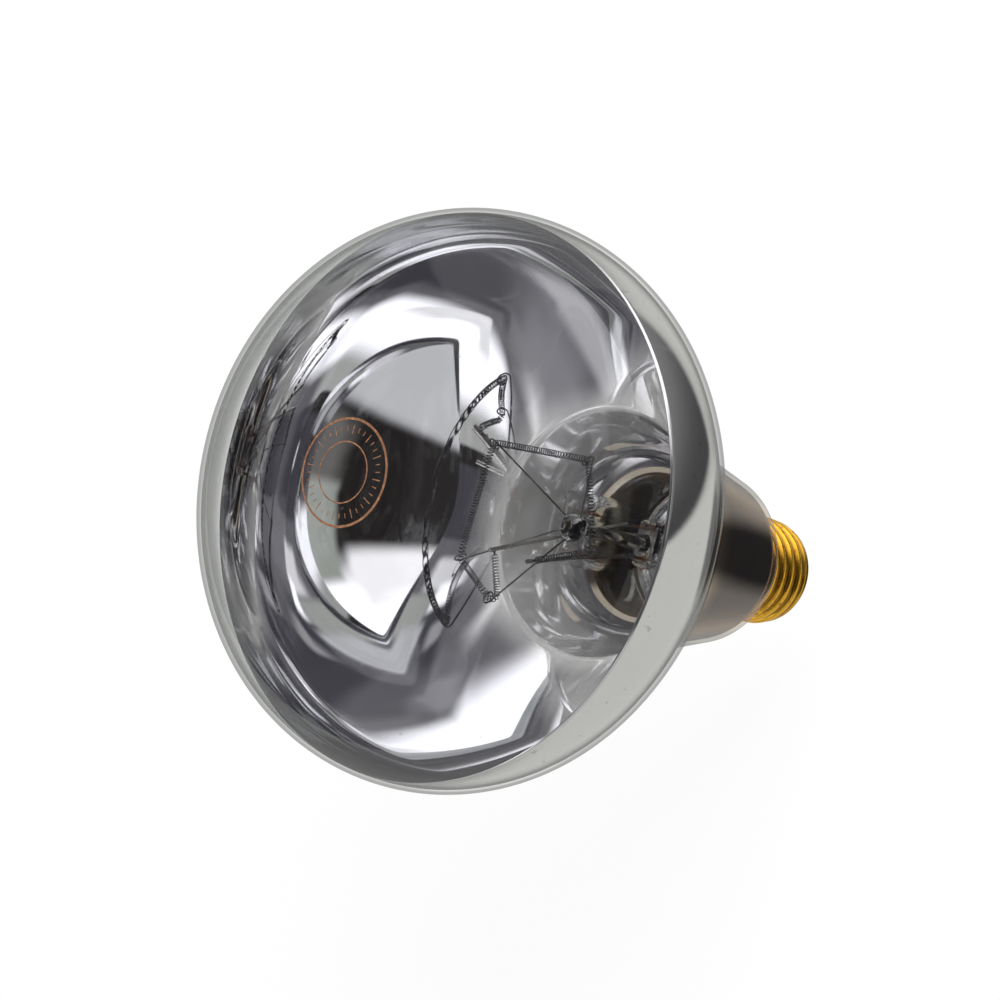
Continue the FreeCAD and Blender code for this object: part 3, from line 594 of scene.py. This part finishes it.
class LAMP_OT_blown_bulb(bpy.types.Operator):
    """Make the clear blown bulb with its wall, from the domed face to the tube in the cap"""

    bl_idname = "lamp.blown_bulb"
    bl_label = "Blown bulb"

    def execute(self, context):
        glass = context.scene.lamp_glass
        tube = glass.tube / 2
        outside = glass_profile(glass, 0.0, GLASS_STEP)
        outside += [(tube, glass.bottom), (tube, glass.tube_end)]
        inside = glass_profile(glass, glass.wall, GLASS_STEP)
        inside += [(tube - glass.wall, glass.bottom + glass.wall),
                   (tube - glass.wall, glass.tube_end)]
        loop = outside[1:] + inside[:0:-1]
        points = turn_profile(loop, GLASS_COLUMNS)
        faces = turned_faces(len(loop), GLASS_COLUMNS, False)
        cap_pole(points, faces, 0, GLASS_COLUMNS, outside[0][1], True)
        cap_pole(points, faces, len(loop) - 1, GLASS_COLUMNS, inside[0][1], False)
        piece = new_piece("blown_bulb", points, faces, [clear_glass()])
        finish_piece(piece, "envelope_glass", "envelope")
        return {"FINISHED"}


class LAMP_OT_mirror_film(bpy.types.Operator):
    """Make the aluminium film on the inside of the bowl and the neck"""

    bl_idname = "lamp.mirror_film"
    bl_label = "Mirror film"

    def execute(self, context):
        glass = context.scene.lamp_glass
        back = film_line(glass, glass.wall + glass.film_gap, FILM_BACK_STEP)
        front = film_line(glass, glass.wall + glass.film, FILM_FRONT_STEP)
        loop = back + front[::-1]
        points = turn_profile(loop, FILM_COLUMNS)
        faces = turned_faces(len(loop), FILM_COLUMNS, True)
        piece = new_piece("mirror_film", points, faces, [film_back(), bright_film()])
        behind = (len(back) - 1) * FILM_COLUMNS
        piece.data.polygons.foreach_set(
            "material_index", [0 if number < behind else 1 for number in range(len(faces))])
        finish_piece(piece, "mirror_film", "mirror_coating")
        return {"FINISHED"}


def film_line(glass, inside, step):
    """The part of the glass line that carries film."""
    rim = glass.widest + glass.rim_rise * (glass.edge - inside) / glass.edge
    neck_end = (glass.bottom + glass.shoulder
                - (glass.shoulder - inside) * math.sin(glass.film_turn))
    line = [point for point in glass_profile(glass, inside, step)
            if neck_end - 0.001 * MM <= point[1] <= rim]
    across = glass.diameter / 2 - glass.edge
    sine = glass.rim_rise / glass.edge
    first = (across + (glass.edge - inside) * math.sqrt(1 - sine * sine), rim)
    return [first] + line


class LAMP_OT_screw_shell(bpy.types.Operator):
    """Make the brass shell with its rolled round thread"""

    bl_idname = "lamp.screw_shell"
    bl_label = "Screw shell"

    def execute(self, context):
        """The foot's rows lie closer together towards the edge that curls in."""
        cap = context.scene.lamp_cap
        foot_rows = [cap.foot + (cap.start - cap.foot) * (number / FOOT_ROWS) ** 1.6
                     for number in range(FOOT_ROWS)]
        heights = foot_rows + [cap.start + (cap.height - cap.start) * number / SHELL_ROWS
                               for number in range(SHELL_ROWS + 1)]
        heights.reverse()
        points = [shell_point(cap, height, column / SHELL_COLUMNS, inside)
                  for inside, levels in ((0.0, heights), (cap.sheet, heights[::-1]))
                  for height in levels for column in range(SHELL_COLUMNS)]
        faces = turned_faces(2 * len(heights), SHELL_COLUMNS, True)
        piece = new_piece("rolled_shell", points, faces, [rolled_brass()])
        mark_sharp_rows(piece, SHELL_COLUMNS, (0, len(heights) - 1, len(heights), -1))
        finish_piece(piece, "cap_brass", "screw_shell")
        return {"FINISHED"}


def mark_sharp_rows(piece, columns, rows):
    """Keeps the edges of the given rings crisp."""
    total = len(piece.data.vertices) // columns
    wanted = {row % total for row in rows}
    for edge in piece.data.edges:
        ends = [vertex // columns for vertex in edge.vertices]
        if ends[0] == ends[1] and ends[0] in wanted:
            edge.use_edge_sharp = True


def eased(value):
    """A smooth step from zero to one."""
    value = min(max(value, 0.0), 1.0)
    return value * value * (3 - 2 * value)


def shell_point(cap, height, turn, inside):
    """A point of the shell at a height and a share of a turn round the axis."""
    mean = (cap.major + cap.minor) / 4
    if height < cap.start:
        down = (cap.start - height) / (cap.start - cap.foot)
        foot_radius = cap.foot_diameter / 2
        mean = foot_radius + (mean - foot_radius) * math.sqrt(max(1 - down * down, 0.0))
    leaving = eased((height - cap.finish) / cap.fade)
    mean += (cap.skirt / 2 - mean) * leaving
    depth = eased((height - cap.start) / cap.fade) * (1 - leaving)
    wave = thread_wave(cap, (height - cap.first_crest) / cap.pitch - turn)
    radius = mean - inside + depth * wave
    angle = 2 * math.pi * turn
    return (radius * math.cos(angle), radius * math.sin(angle), height)


def thread_wave(cap, turns):
    """Height of the rounded thread over its mean line."""
    quarter, depth = cap.pitch / 4, (cap.major - cap.minor) / 4
    curve = (quarter * quarter + depth * depth) / (2 * depth)
    from_crest = abs((turns + 0.5) % 1.0 - 0.5)
    along = min(from_crest, 0.5 - from_crest) * 4 * quarter
    rise = depth - curve + math.sqrt(curve * curve - along * along)
    return rise if from_crest <= 0.25 else -rise


# Places of the coil's corners, in millimetres: a clamped leg, the five hooks, and the other
# clamped leg. The straight legs are twice as thick as the wound wire.

COIL_CORNERS = ((-9.3, -4.0), (-3.99, -19.6), (15.09, -13.12), (14.39, 13.89),
                (-12.31, 15.76), (-21.84, 1.6), (-8.7, 6.7))
LEG_LENGTH = 1.4 * MM

# The wire's sides, its points in a turn and its line's points in a bend, and how far it is from
# an even coil: the drift of its turns as a share of its length, and of its radius in metres

WIRE_SIDES, POINTS_A_TURN, BEND_POINTS = 6, 13, 8
PITCH_DRIFT, UNEVEN = 0.03, 0.12 * MM

COIL_INPUTS = {"Line": "Geometry", "Coil Radius": "Float", "Wire Radius": "Float",
               "Bend": "Float", "Turns": "Int", "Points": "Int", "Uneven": "Float"}


def coil_tree(material):
    """Geometry nodes that round a line of points and wind a wire round it, with the
    identifiers of the tree's inputs."""
    tree = bpy.data.node_groups.new("wound_coil", "GeometryNodeTree")
    names = {name: tree.interface.new_socket(
        name=name, in_out="INPUT", socket_type="NodeSocket" + kind).identifier
        for name, kind in COIL_INPUTS.items()}
    tree.interface.new_socket(name="Wire", in_out="OUTPUT", socket_type="NodeSocketGeometry")
    source = tree.nodes.new("NodeGroupInput")
    inputs = {name: Wire(tree, source.outputs[name]) for name in names}
    curve = add_node(tree, "GeometryNodeMeshToCurve", None, {0: inputs["Line"]})
    curve = add_node(tree, "GeometryNodeFilletCurve", {"mode": "POLY"},
                     {"Curve": curve, "Radius": inputs["Bend"], "Count": BEND_POINTS,
                      "Limit Radius": True})
    curve = add_node(tree, "GeometryNodeResampleCurve", {"mode": "COUNT"},
                     {"Curve": curve, "Count": inputs["Points"]})
    tangent = add_node(tree, "GeometryNodeInputTangent")
    normal = add_node(tree, "GeometryNodeInputNormal")
    factor = add_node(tree, "GeometryNodeSplineParameter", output="Factor")
    place = add_node(tree, "GeometryNodeInputPosition")
    drift = add_node(tree, "ShaderNodeTexNoise", {"noise_dimensions": "3D"},
                     {"Vector": place, "Scale": 210.0, "Detail": 1.0})
    spread = add_node(tree, "ShaderNodeTexNoise", {"noise_dimensions": "1D"},
                      {"W": factor * 9.0, "Scale": 1.0, "Detail": 1.0})
    turn = (factor + (spread - 0.5) * PITCH_DRIFT) * inputs["Turns"] * (2 * math.pi)
    spoke = add_node(tree, "ShaderNodeVectorRotate", {"rotation_type": "AXIS_ANGLE"},
                     {"Vector": normal, "Axis": tangent, "Angle": turn})
    radius = inputs["Coil Radius"] + (drift - 0.5) * inputs["Uneven"]
    offset = add_node(tree, "ShaderNodeVectorMath", {"operation": "SCALE"},
                      {0: spoke, "Scale": radius})
    wound = add_node(tree, "GeometryNodeSetPosition", None,
                     {"Geometry": curve, "Offset": offset})
    profile = add_node(tree, "GeometryNodeCurvePrimitiveCircle", {"mode": "RADIUS"},
                       {"Resolution": WIRE_SIDES, "Radius": inputs["Wire Radius"]})
    wire = add_node(tree, "GeometryNodeCurveToMesh", None,
                    {"Curve": wound, "Profile Curve": profile, "Fill Caps": True})
    wire = add_node(tree, "GeometryNodeRealizeInstances", None, {0: wire})
    wire = add_node(tree, "GeometryNodeSetMaterial", None,
                    {"Geometry": wire, "Material": material})
    output = tree.nodes.new("NodeGroupOutput")
    tree.links.new(wire.socket, output.inputs[0])
    return tree, names


def baked(piece, name):
    """The evaluated piece as a plain mesh, in place of the one with the modifier."""
    bpy.context.view_layer.update()
    graph = bpy.context.evaluated_depsgraph_get()
    mesh = bpy.data.meshes.new_from_object(piece.evaluated_get(graph))
    mesh.name = name
    plain = link(bpy.data.objects.new(name, mesh))
    bpy.data.objects.remove(piece)
    mesh.polygons.foreach_set("use_smooth", [True] * len(mesh.polygons))
    return plain


def wind(name, line, material, values):
    """Winds a wire round a line of points, with the values given to the tree's inputs."""
    points = [tuple(point) for point in line]
    edges = [(number, number + 1) for number in range(len(points) - 1)]
    mesh = bpy.data.meshes.new(name + "_line")
    mesh.from_pydata(points, edges, [])
    piece = link(bpy.data.objects.new(name + "_line", mesh))
    tree, names = coil_tree(material)
    modifier = piece.modifiers.new("wind", "NODES")
    modifier.node_group = tree
    for label, value in values.items():
        modifier[names[label]] = value
    return baked(piece, name)


class LAMP_OT_filament(bpy.types.Operator):
    """Wind the tungsten coil over its five hooks, with a straight leg into each lead"""

    bl_idname = "lamp.filament"
    bl_label = "Filament"

    def execute(self, context):
        coil = context.scene.lamp_coil
        corners = [Vector((x * MM, y * MM, coil.height)) for x, y in COIL_CORNERS]
        material = drawn_metal("tungsten", colours().tungsten, 0.3, (0.05, 0.05, 0.055))
        ends = []
        for clamp, neighbour in ((corners[0], corners[1]), (corners[-1], corners[-2])):
            ends.append(clamp + (neighbour - clamp).normalized() * LEG_LENGTH)
        line = [ends[0]] + corners[1:-1] + [ends[1]]
        pieces = [wind("wound_coil", line, material, {
            "Coil Radius": (coil.outside - coil.wire) / 2, "Wire Radius": coil.wire / 2,
            "Bend": coil.bend, "Turns": coil.turns, "Points": coil.turns * POINTS_A_TURN,
            "Uneven": UNEVEN})]
        for clamp, end in ((corners[0], ends[0]), (corners[-1], ends[1])):
            pieces.append(straight_wire("coil_leg", clamp, end, coil.wire, material))
        finish_piece(joined("wound_coil", pieces), "tungsten", "filament")
        return {"FINISHED"}


def straight_wire(name, start, end, radius, material):
    """A round wire between two points, closed at both ends."""
    along = (end - start).normalized()
    side = along.orthogonal().normalized()
    other = along.cross(side)
    points = []
    for place in (start, end):
        for number in range(LEG_SIDES):
            angle = 2 * math.pi * number / LEG_SIDES
            spoke = side * math.cos(angle) + other * math.sin(angle)
            points.append(tuple(place + spoke * radius))
    faces = [(number, (number + 1) % LEG_SIDES, LEG_SIDES + (number + 1) % LEG_SIDES,
              LEG_SIDES + number) for number in range(LEG_SIDES)]
    faces += [tuple(range(LEG_SIDES))[::-1], tuple(range(LEG_SIDES, 2 * LEG_SIDES))]
    return new_piece(name, points, faces, [material])


def joined(name, pieces):
    """One mesh of several, in the same place."""
    points, faces = [], []
    for piece in pieces:
        first = len(points)
        points += [tuple(vertex.co) for vertex in piece.data.vertices]
        faces += [tuple(first + corner for corner in face.vertices)
                  for face in piece.data.polygons]
    materials = list(pieces[0].data.materials)
    for piece in pieces:
        bpy.data.objects.remove(piece)
    return new_piece(name, points, faces, materials)


class LAMP_OT_stem_and_wires(bpy.types.Operator):
    """Finish the glass stem, the leads, the sealing wires and the supports"""

    bl_idname = "lamp.stem_and_wires"
    bl_label = "Stem and wires"

    def execute(self, context):
        tones = colours()
        dress(stem_glass(), "stem_flare", "exhaust_tube", "arbor_rod")
        dress(drawn_metal("copper_skin", tones.copper, 0.2, (0.42, 0.16, 0.08)),
              "dumet_seal_a", "dumet_seal_b", "outer_lead_a", "outer_lead_b")
        dress(drawn_metal("nickel", tones.nickel, 0.22, (0.34, 0.32, 0.3)),
              "lead_wire_a", "lead_wire_b")
        dress(drawn_metal("molybdenum", tones.molybdenum, 0.28, (0.09, 0.085, 0.08)),
              *[f"support_wire_{number}" for number in range(1, 6)])
        return {"FINISHED"}


class LAMP_OT_cap_fittings(bpy.types.Operator):
    """Finish the insulator, the end contact, the solder and the cement"""

    bl_idname = "lamp.cap_fittings"
    bl_label = "Cap fittings"

    def execute(self, context):
        tones = colours()
        dress(black_glass(), "cap_insulator")
        dress(drawn_metal("contact_brass", tones.brass, 0.22, (0.5, 0.3, 0.1), 2200.0),
              "contact_plate")
        dress(soft_solder(), "centre_solder", "side_solder")
        dress(baked_cement(), "cap_cement")
        return {"FINISHED"}


# The mark on the face, in millimetres: where its centre lies, the rings as radius, width and
# columns, the strokes between them with the radii of their ends, and the ink. Every third
# stroke is tall.

MARK_CENTRE = (0.4, -1.1)
MARK_RINGS = ((11.07, 0.5, 144), (6.3, 0.28, 96))
STROKES, STROKE_WIDTH = 36, 0.2
TALL_STROKE, SHORT_STROKE = (8.0, 9.9), (8.5, 9.5)
INK, INK_GAP = 0.03, 0.01


class LAMP_OT_face_mark(bpy.types.Operator):
    """Print a plain ring with tick marks on the face"""

    bl_idname = "lamp.face_mark"
    bl_label = "Face mark"

    def execute(self, context):
        glass = context.scene.lamp_glass
        centre = face_centre(glass)
        points, faces = [], []
        for ring in MARK_RINGS:
            add_ring(points, faces, *ring)
        for number in range(STROKES):
            ends = SHORT_STROKE if number % 3 else TALL_STROKE
            add_stroke(points, faces, ends, 2 * math.pi * number / STROKES)
        lifted = []
        for across, back, lift in points:
            x, y = (across + MARK_CENTRE[0]) * MM, (back + MARK_CENTRE[1]) * MM
            level = glass.face + (INK_GAP + lift) * MM
            lifted.append((x, y, centre + math.sqrt(level ** 2 - x * x - y * y)))
        piece = new_piece("ring_mark", lifted, faces, [fired_ink()], smooth=False)
        finish_piece(piece, "envelope_glass")
        return {"FINISHED"}


def add_ring(points, faces, radius, width, columns):
    """A closed flat band, as thick as ink, in millimetres round the mark's centre."""
    first = len(points)
    inner, outer = radius - width / 2, radius + width / 2
    for column in range(columns):
        angle = 2 * math.pi * column / columns
        for distance, lift in ((inner, 0.0), (outer, 0.0), (outer, INK), (inner, INK)):
            points.append((distance * math.cos(angle), distance * math.sin(angle), lift))
    for column in range(columns):
        here, there = first + 4 * column, first + 4 * ((column + 1) % columns)
        for corner in range(4):
            onward = (corner + 1) % 4
            faces.append((here + corner, there + corner, there + onward, here + onward))


def add_stroke(points, faces, ends, angle):
    """A short closed stroke that points at the mark's centre."""
    along = Vector((math.cos(angle), math.sin(angle)))
    side = Vector((-along.y, along.x)) * STROKE_WIDTH / 2
    low, high = along * ends[0], along * ends[1]
    corners = [low - side, high - side, high + side, low + side]
    first = len(points)
    points += [(corner.x, corner.y, lift) for lift in (0.0, INK) for corner in corners]
    faces += [(first + 3, first + 2, first + 1, first),
              (first + 4, first + 5, first + 6, first + 7)]
    for corner in range(4):
        onward = (corner + 1) % 4
        faces.append((first + corner, first + onward, first + 4 + onward, first + 4 + corner))


# Studio

MIRROR_BOUNCES = 10


class LAMP_OT_studio(bpy.types.Operator):
    """Set up the floor, the pale tent, the lights and the camera"""

    bl_idname = "lamp.studio"
    bl_label = "Studio"

    def execute(self, context):
        make_floor(context.scene.lamp_studio)
        make_tent(context.scene)
        make_lights()
        make_camera(context.scene)
        context.scene.view_settings.view_transform = "Standard"
        context.scene.cycles.glossy_bounces = MIRROR_BOUNCES
        return {"FINISHED"}


# The floor, in metres. Mirrors see painted light on it: a glow with two patches of painted shade,
# one next to the lamp behind a slanting edge, and a round painted shadow under it. The pairs are
# places between which they grow or fade.

FLOOR_HALF = 3.0
EDGE_SLOPE = 0.187
BESIDE, BEYOND, FADING = (0.066, 0.084), (-0.04, -0.07), (0.09, 0.3)
UNDER_CENTRE, UNDER = (0.01, -0.035), (0.039, 0.018)
PAINTED_SHADE_DARK, PAINTED_SHADE_FAR, PAINTED_FLOOR_GLOW = (0.07, 0.07, 0.075), (0.22, 0.22, 0.23), (0.62, 0.62, 0.61)
MATT, WHITENESS = (0.8, 0.8, 0.8), 0.88


def make_floor(studio):
    """The camera sees it nearly white. Mirrors see it as a painted glow with two soft patches of
    painted shade.
    """
    height = -studio.floor_drop
    points = [(x * FLOOR_HALF, y * FLOOR_HALF, height)
              for x, y in ((-1, -1), (1, -1), (1, 1), (-1, 1))]
    material, tree, where = new_material("studio_floor")
    x, y = coordinate(where, "X"), coordinate(where, "Y")
    edge = x - y * EDGE_SLOPE
    # Painted shade seen in mirrors, next to the lamp behind a slanting edge
    painted_side_shade = ease(edge, *BESIDE) * ease(y, *BEYOND)
    # Painted shadow seen in mirrors: a round patch under the lamp
    under = ease(reach(x - UNDER_CENTRE[0], y - UNDER_CENTRE[1]), *UNDER)
    painted_shade = painted_side_shade.sum("MAXIMUM", painted_side_shade, under)
    plain = add_node(tree, "ShaderNodeBsdfDiffuse", None, {"Color": MATT})
    base = mix_shaders(ray(tree, "Camera") * WHITENESS, plain, glow(tree, (1.0, 1.0, 1.0)))
    # Mirrors see a painted glow, and painted shade that grows paler away from the slanting edge
    shade = mix_shaders(ease(edge, *FADING), glow(tree, PAINTED_SHADE_DARK), glow(tree, PAINTED_SHADE_FAR))
    gloss = mix_shaders(painted_shade, glow(tree, PAINTED_FLOOR_GLOW), shade)
    show(mix_shaders(ray(tree, "Glossy"), base, gloss))
    new_piece("studio_floor", points, [(0, 1, 2, 3)], [material], smooth=False)


GREY_GREEN = (0.36, 0.385, 0.36)
DIM = (0.066, 0.064, 0.079)
BLACK = (0.016, 0.014, 0.013)
WHITE = (1.72, 1.72, 1.84)

# Cards of the tent: azimuth and half width, tilt from overhead at the near and far edge, and
# how soft its sides and its ends are, all in degrees, with what it shows. Later cards lie over
# earlier ones.

CARDS = (
    (22, 24, 34, 110, 5, 5, (0.52, 0.53, 0.52)),
    (-19, 29, 26, 110, 11, 11, WHITE),
    (-88, 14, 8, 20, 20, 5, (0.9, 0.9, 0.93)),
    (87, 42, 24, 110, 4, 8, DIM),
    (49, 8, 50, 110, 2, 6, BLACK),
    (134, 8, 56, 110, 4, 4, (0.17, 0.17, 0.19)),
    (157, 14, 40, 80, 5, 5, (1.0, 1.0, 1.05)),
    (177, 12, 46, 64, 4, 4, WHITE),
    (188, 15, 66, 110, 4, 3, (0.46, 0.48, 0.46)),
    (-132, 42, 33, 61, 6, 6, DIM),
    (-149, 10, 35, 50, 5, 4, (0.42, 0.42, 0.44)),
    (-86, 18, 36, 56, 8, 4, DIM),
    (-141, 22, 60, 84, 5, 3, (0.62, 0.63, 0.66)),
    (-88, 30, 56, 84, 3, 3, BLACK),
    (-98, 14, 69, 84, 4, 2, (0.09, 0.085, 0.08)),
    (-66, 20, 69.5, 84, 3, 1.2, GREY_GREEN),
    (-44, 14, 55, 67, 5, 1.5, (1.2, 1.2, 1.25)),
    (86, 9, 43, 50, 4, 2, (0.9, 0.9, 0.95)),
)


EVEN_LIGHT = 0.75
TENT_SWAY = 0.06


def make_tent(scene):
    """Cards seen in gloss and through glass only. The camera sees plain white, and matt
    surfaces an even pale tent."""
    world = bpy.data.worlds.new("tent")
    world.use_nodes = True
    tree = world.node_tree
    tree.nodes.clear()
    way = add_node(tree, "ShaderNodeTexCoord", output="Generated")
    x, y, z = (coordinate(way, axis) for axis in "XYZ")
    tilt = z.sum("ARCCOSINE", z) + (noise(tree, way, 5.0, detail=1.0) - 0.5) * TENT_SWAY
    tone = add_node(tree, "ShaderNodeRGB")
    tone.socket.default_value = (*scene.lamp_studio.tent, 1.0)
    for azimuth, half, near, far, soft, soft_ends, value in CARDS:
        weight = card(x, y, tilt, *(math.radians(angle) for angle in
                                    (azimuth, half, near, far, soft, soft_ends)))
        tone = blend_colours(weight, tone, value)
    strength = blend_numbers(ray(tree, "Camera"), EVEN_LIGHT, 1.0)
    even = add_node(tree, "ShaderNodeBackground", None,
                    {"Color": (1.0, 1.0, 1.0), "Strength": strength})
    cards = add_node(tree, "ShaderNodeBackground", None, {"Color": tone, "Strength": 1.0})
    glossy = ray(tree, "Glossy")
    shown = glossy.sum("MAXIMUM", glossy, ray(tree, "Transmission"))
    show(mix_shaders(shown, even, cards), "ShaderNodeOutputWorld")
    world.cycles.sampling_method = "NONE"
    scene.world = world


def card(x, y, tilt, azimuth, half, near, far, soft, soft_ends):
    """One where a direction meets a card, fading over its soft edges."""
    along = x * math.cos(azimuth) + y * math.sin(azimuth)
    aside = y * math.cos(azimuth) - x * math.sin(azimuth)
    turned = along.sum("ARCTAN2", aside, along)
    apart = turned.sum("ABSOLUTE", turned)
    inside = ease(apart, half - soft, half + soft, 1.0, 0.0)
    begun = ease(tilt, near - soft_ends, near + soft_ends)
    ended = ease(tilt, far - soft_ends, far + soft_ends)
    return inside * begun * (1.0 - ended)


# The lights: place in metres and power in watts

LIGHTS = {"key_box": ((0.7, -0.5, 1.1), 14.0), "fill_box": ((-0.8, -0.3, 0.8), 4.0)}
LIGHT_SIDE = 0.6
LIGHT_TARGET = Vector((0.0, 0.0, 0.1))


def make_lights():
    """Two square lights that matt surfaces see, and mirrors and glass don't."""
    for name, (place, power) in LIGHTS.items():
        light = bpy.data.lights.new(name, "AREA")
        light.size = LIGHT_SIDE
        light.energy = power
        box = link(bpy.data.objects.new(name, light))
        box.location = place
        aim = LIGHT_TARGET - box.location
        box.rotation_euler = aim.to_track_quat("-Z", "Y").to_euler()
        box.visible_glossy = False
        box.visible_transmission = False


# Directions of the camera's right, up and back in the lamp's frame, and how far the centre of
# the widest circle lies off the middle of the picture, for each unit of distance

VIEW_RIGHT = (0.2295, -0.7611, -0.6065)
VIEW_UP = (0.9733, 0.1795, 0.1430)
VIEW_BACK = (0.0, -0.6231, 0.7821)
VIEW_SHIFT = (-0.016610, 0.0000777)
SENSOR_WIDTH = 36.0


def make_camera(scene):
    studio = scene.lamp_studio
    turn = Matrix((VIEW_RIGHT, VIEW_UP, VIEW_BACK)).transposed()
    sight = Vector((*VIEW_SHIFT, -1.0)).normalized()
    target = Vector((0.0, 0.0, scene.lamp_glass.widest))
    camera_data = bpy.data.cameras.new("view")
    camera_data.sensor_width = SENSOR_WIDTH
    camera_data.lens = studio.lens
    camera = link(bpy.data.objects.new("view", camera_data))
    place = target - (turn @ sight) * studio.view_distance
    camera.matrix_world = Matrix.Translation(place) @ turn.to_4x4()
    scene.camera = camera


STEPS = (
    LAMP_OT_blown_bulb,
    LAMP_OT_mirror_film,
    LAMP_OT_screw_shell,
    LAMP_OT_filament,
    LAMP_OT_stem_and_wires,
    LAMP_OT_cap_fittings,
    LAMP_OT_face_mark,
    LAMP_OT_studio,
)


class LAMP_PT_steps(bpy.types.Panel):
    """Lists the steps that dress the lamp"""

    bl_idname = "LAMP_PT_steps"
    bl_label = "Heat lamp"
    bl_space_type = "VIEW_3D"
    bl_region_type = "UI"
    bl_category = "Heat Lamp"

    def draw(self, context):
        for step in STEPS:
            self.layout.operator(step.bl_idname)


GROUPS = {
    "lamp_glass": LampGlassSizes,
    "lamp_cap": LampCapSizes,
    "lamp_coil": LampCoilSizes,
    "lamp_colours": LampColours,
    "lamp_studio": LampStudio,
}


def register():
    for group in GROUPS.values():
        bpy.utils.register_class(group)
    for step in STEPS:
        bpy.utils.register_class(step)
    bpy.utils.register_class(LAMP_PT_steps)
    for name, group in GROUPS.items():
        setattr(bpy.types.Scene, name, bpy.props.PointerProperty(type=group))


def unregister():
    for name in GROUPS:
        delattr(bpy.types.Scene, name)
    bpy.utils.unregister_class(LAMP_PT_steps)
    for step in reversed(STEPS):
        bpy.utils.unregister_class(step)
    for group in reversed(GROUPS.values()):
        bpy.utils.unregister_class(group)


def main():
    register()
    bpy.ops.lamp.blown_bulb()
    bpy.ops.lamp.mirror_film()
    bpy.ops.lamp.screw_shell()
    bpy.ops.lamp.filament()
    bpy.ops.lamp.stem_and_wires()
    bpy.ops.lamp.cap_fittings()
    bpy.ops.lamp.face_mark()
    bpy.ops.lamp.studio()


if __name__ == "__main__":
    main()
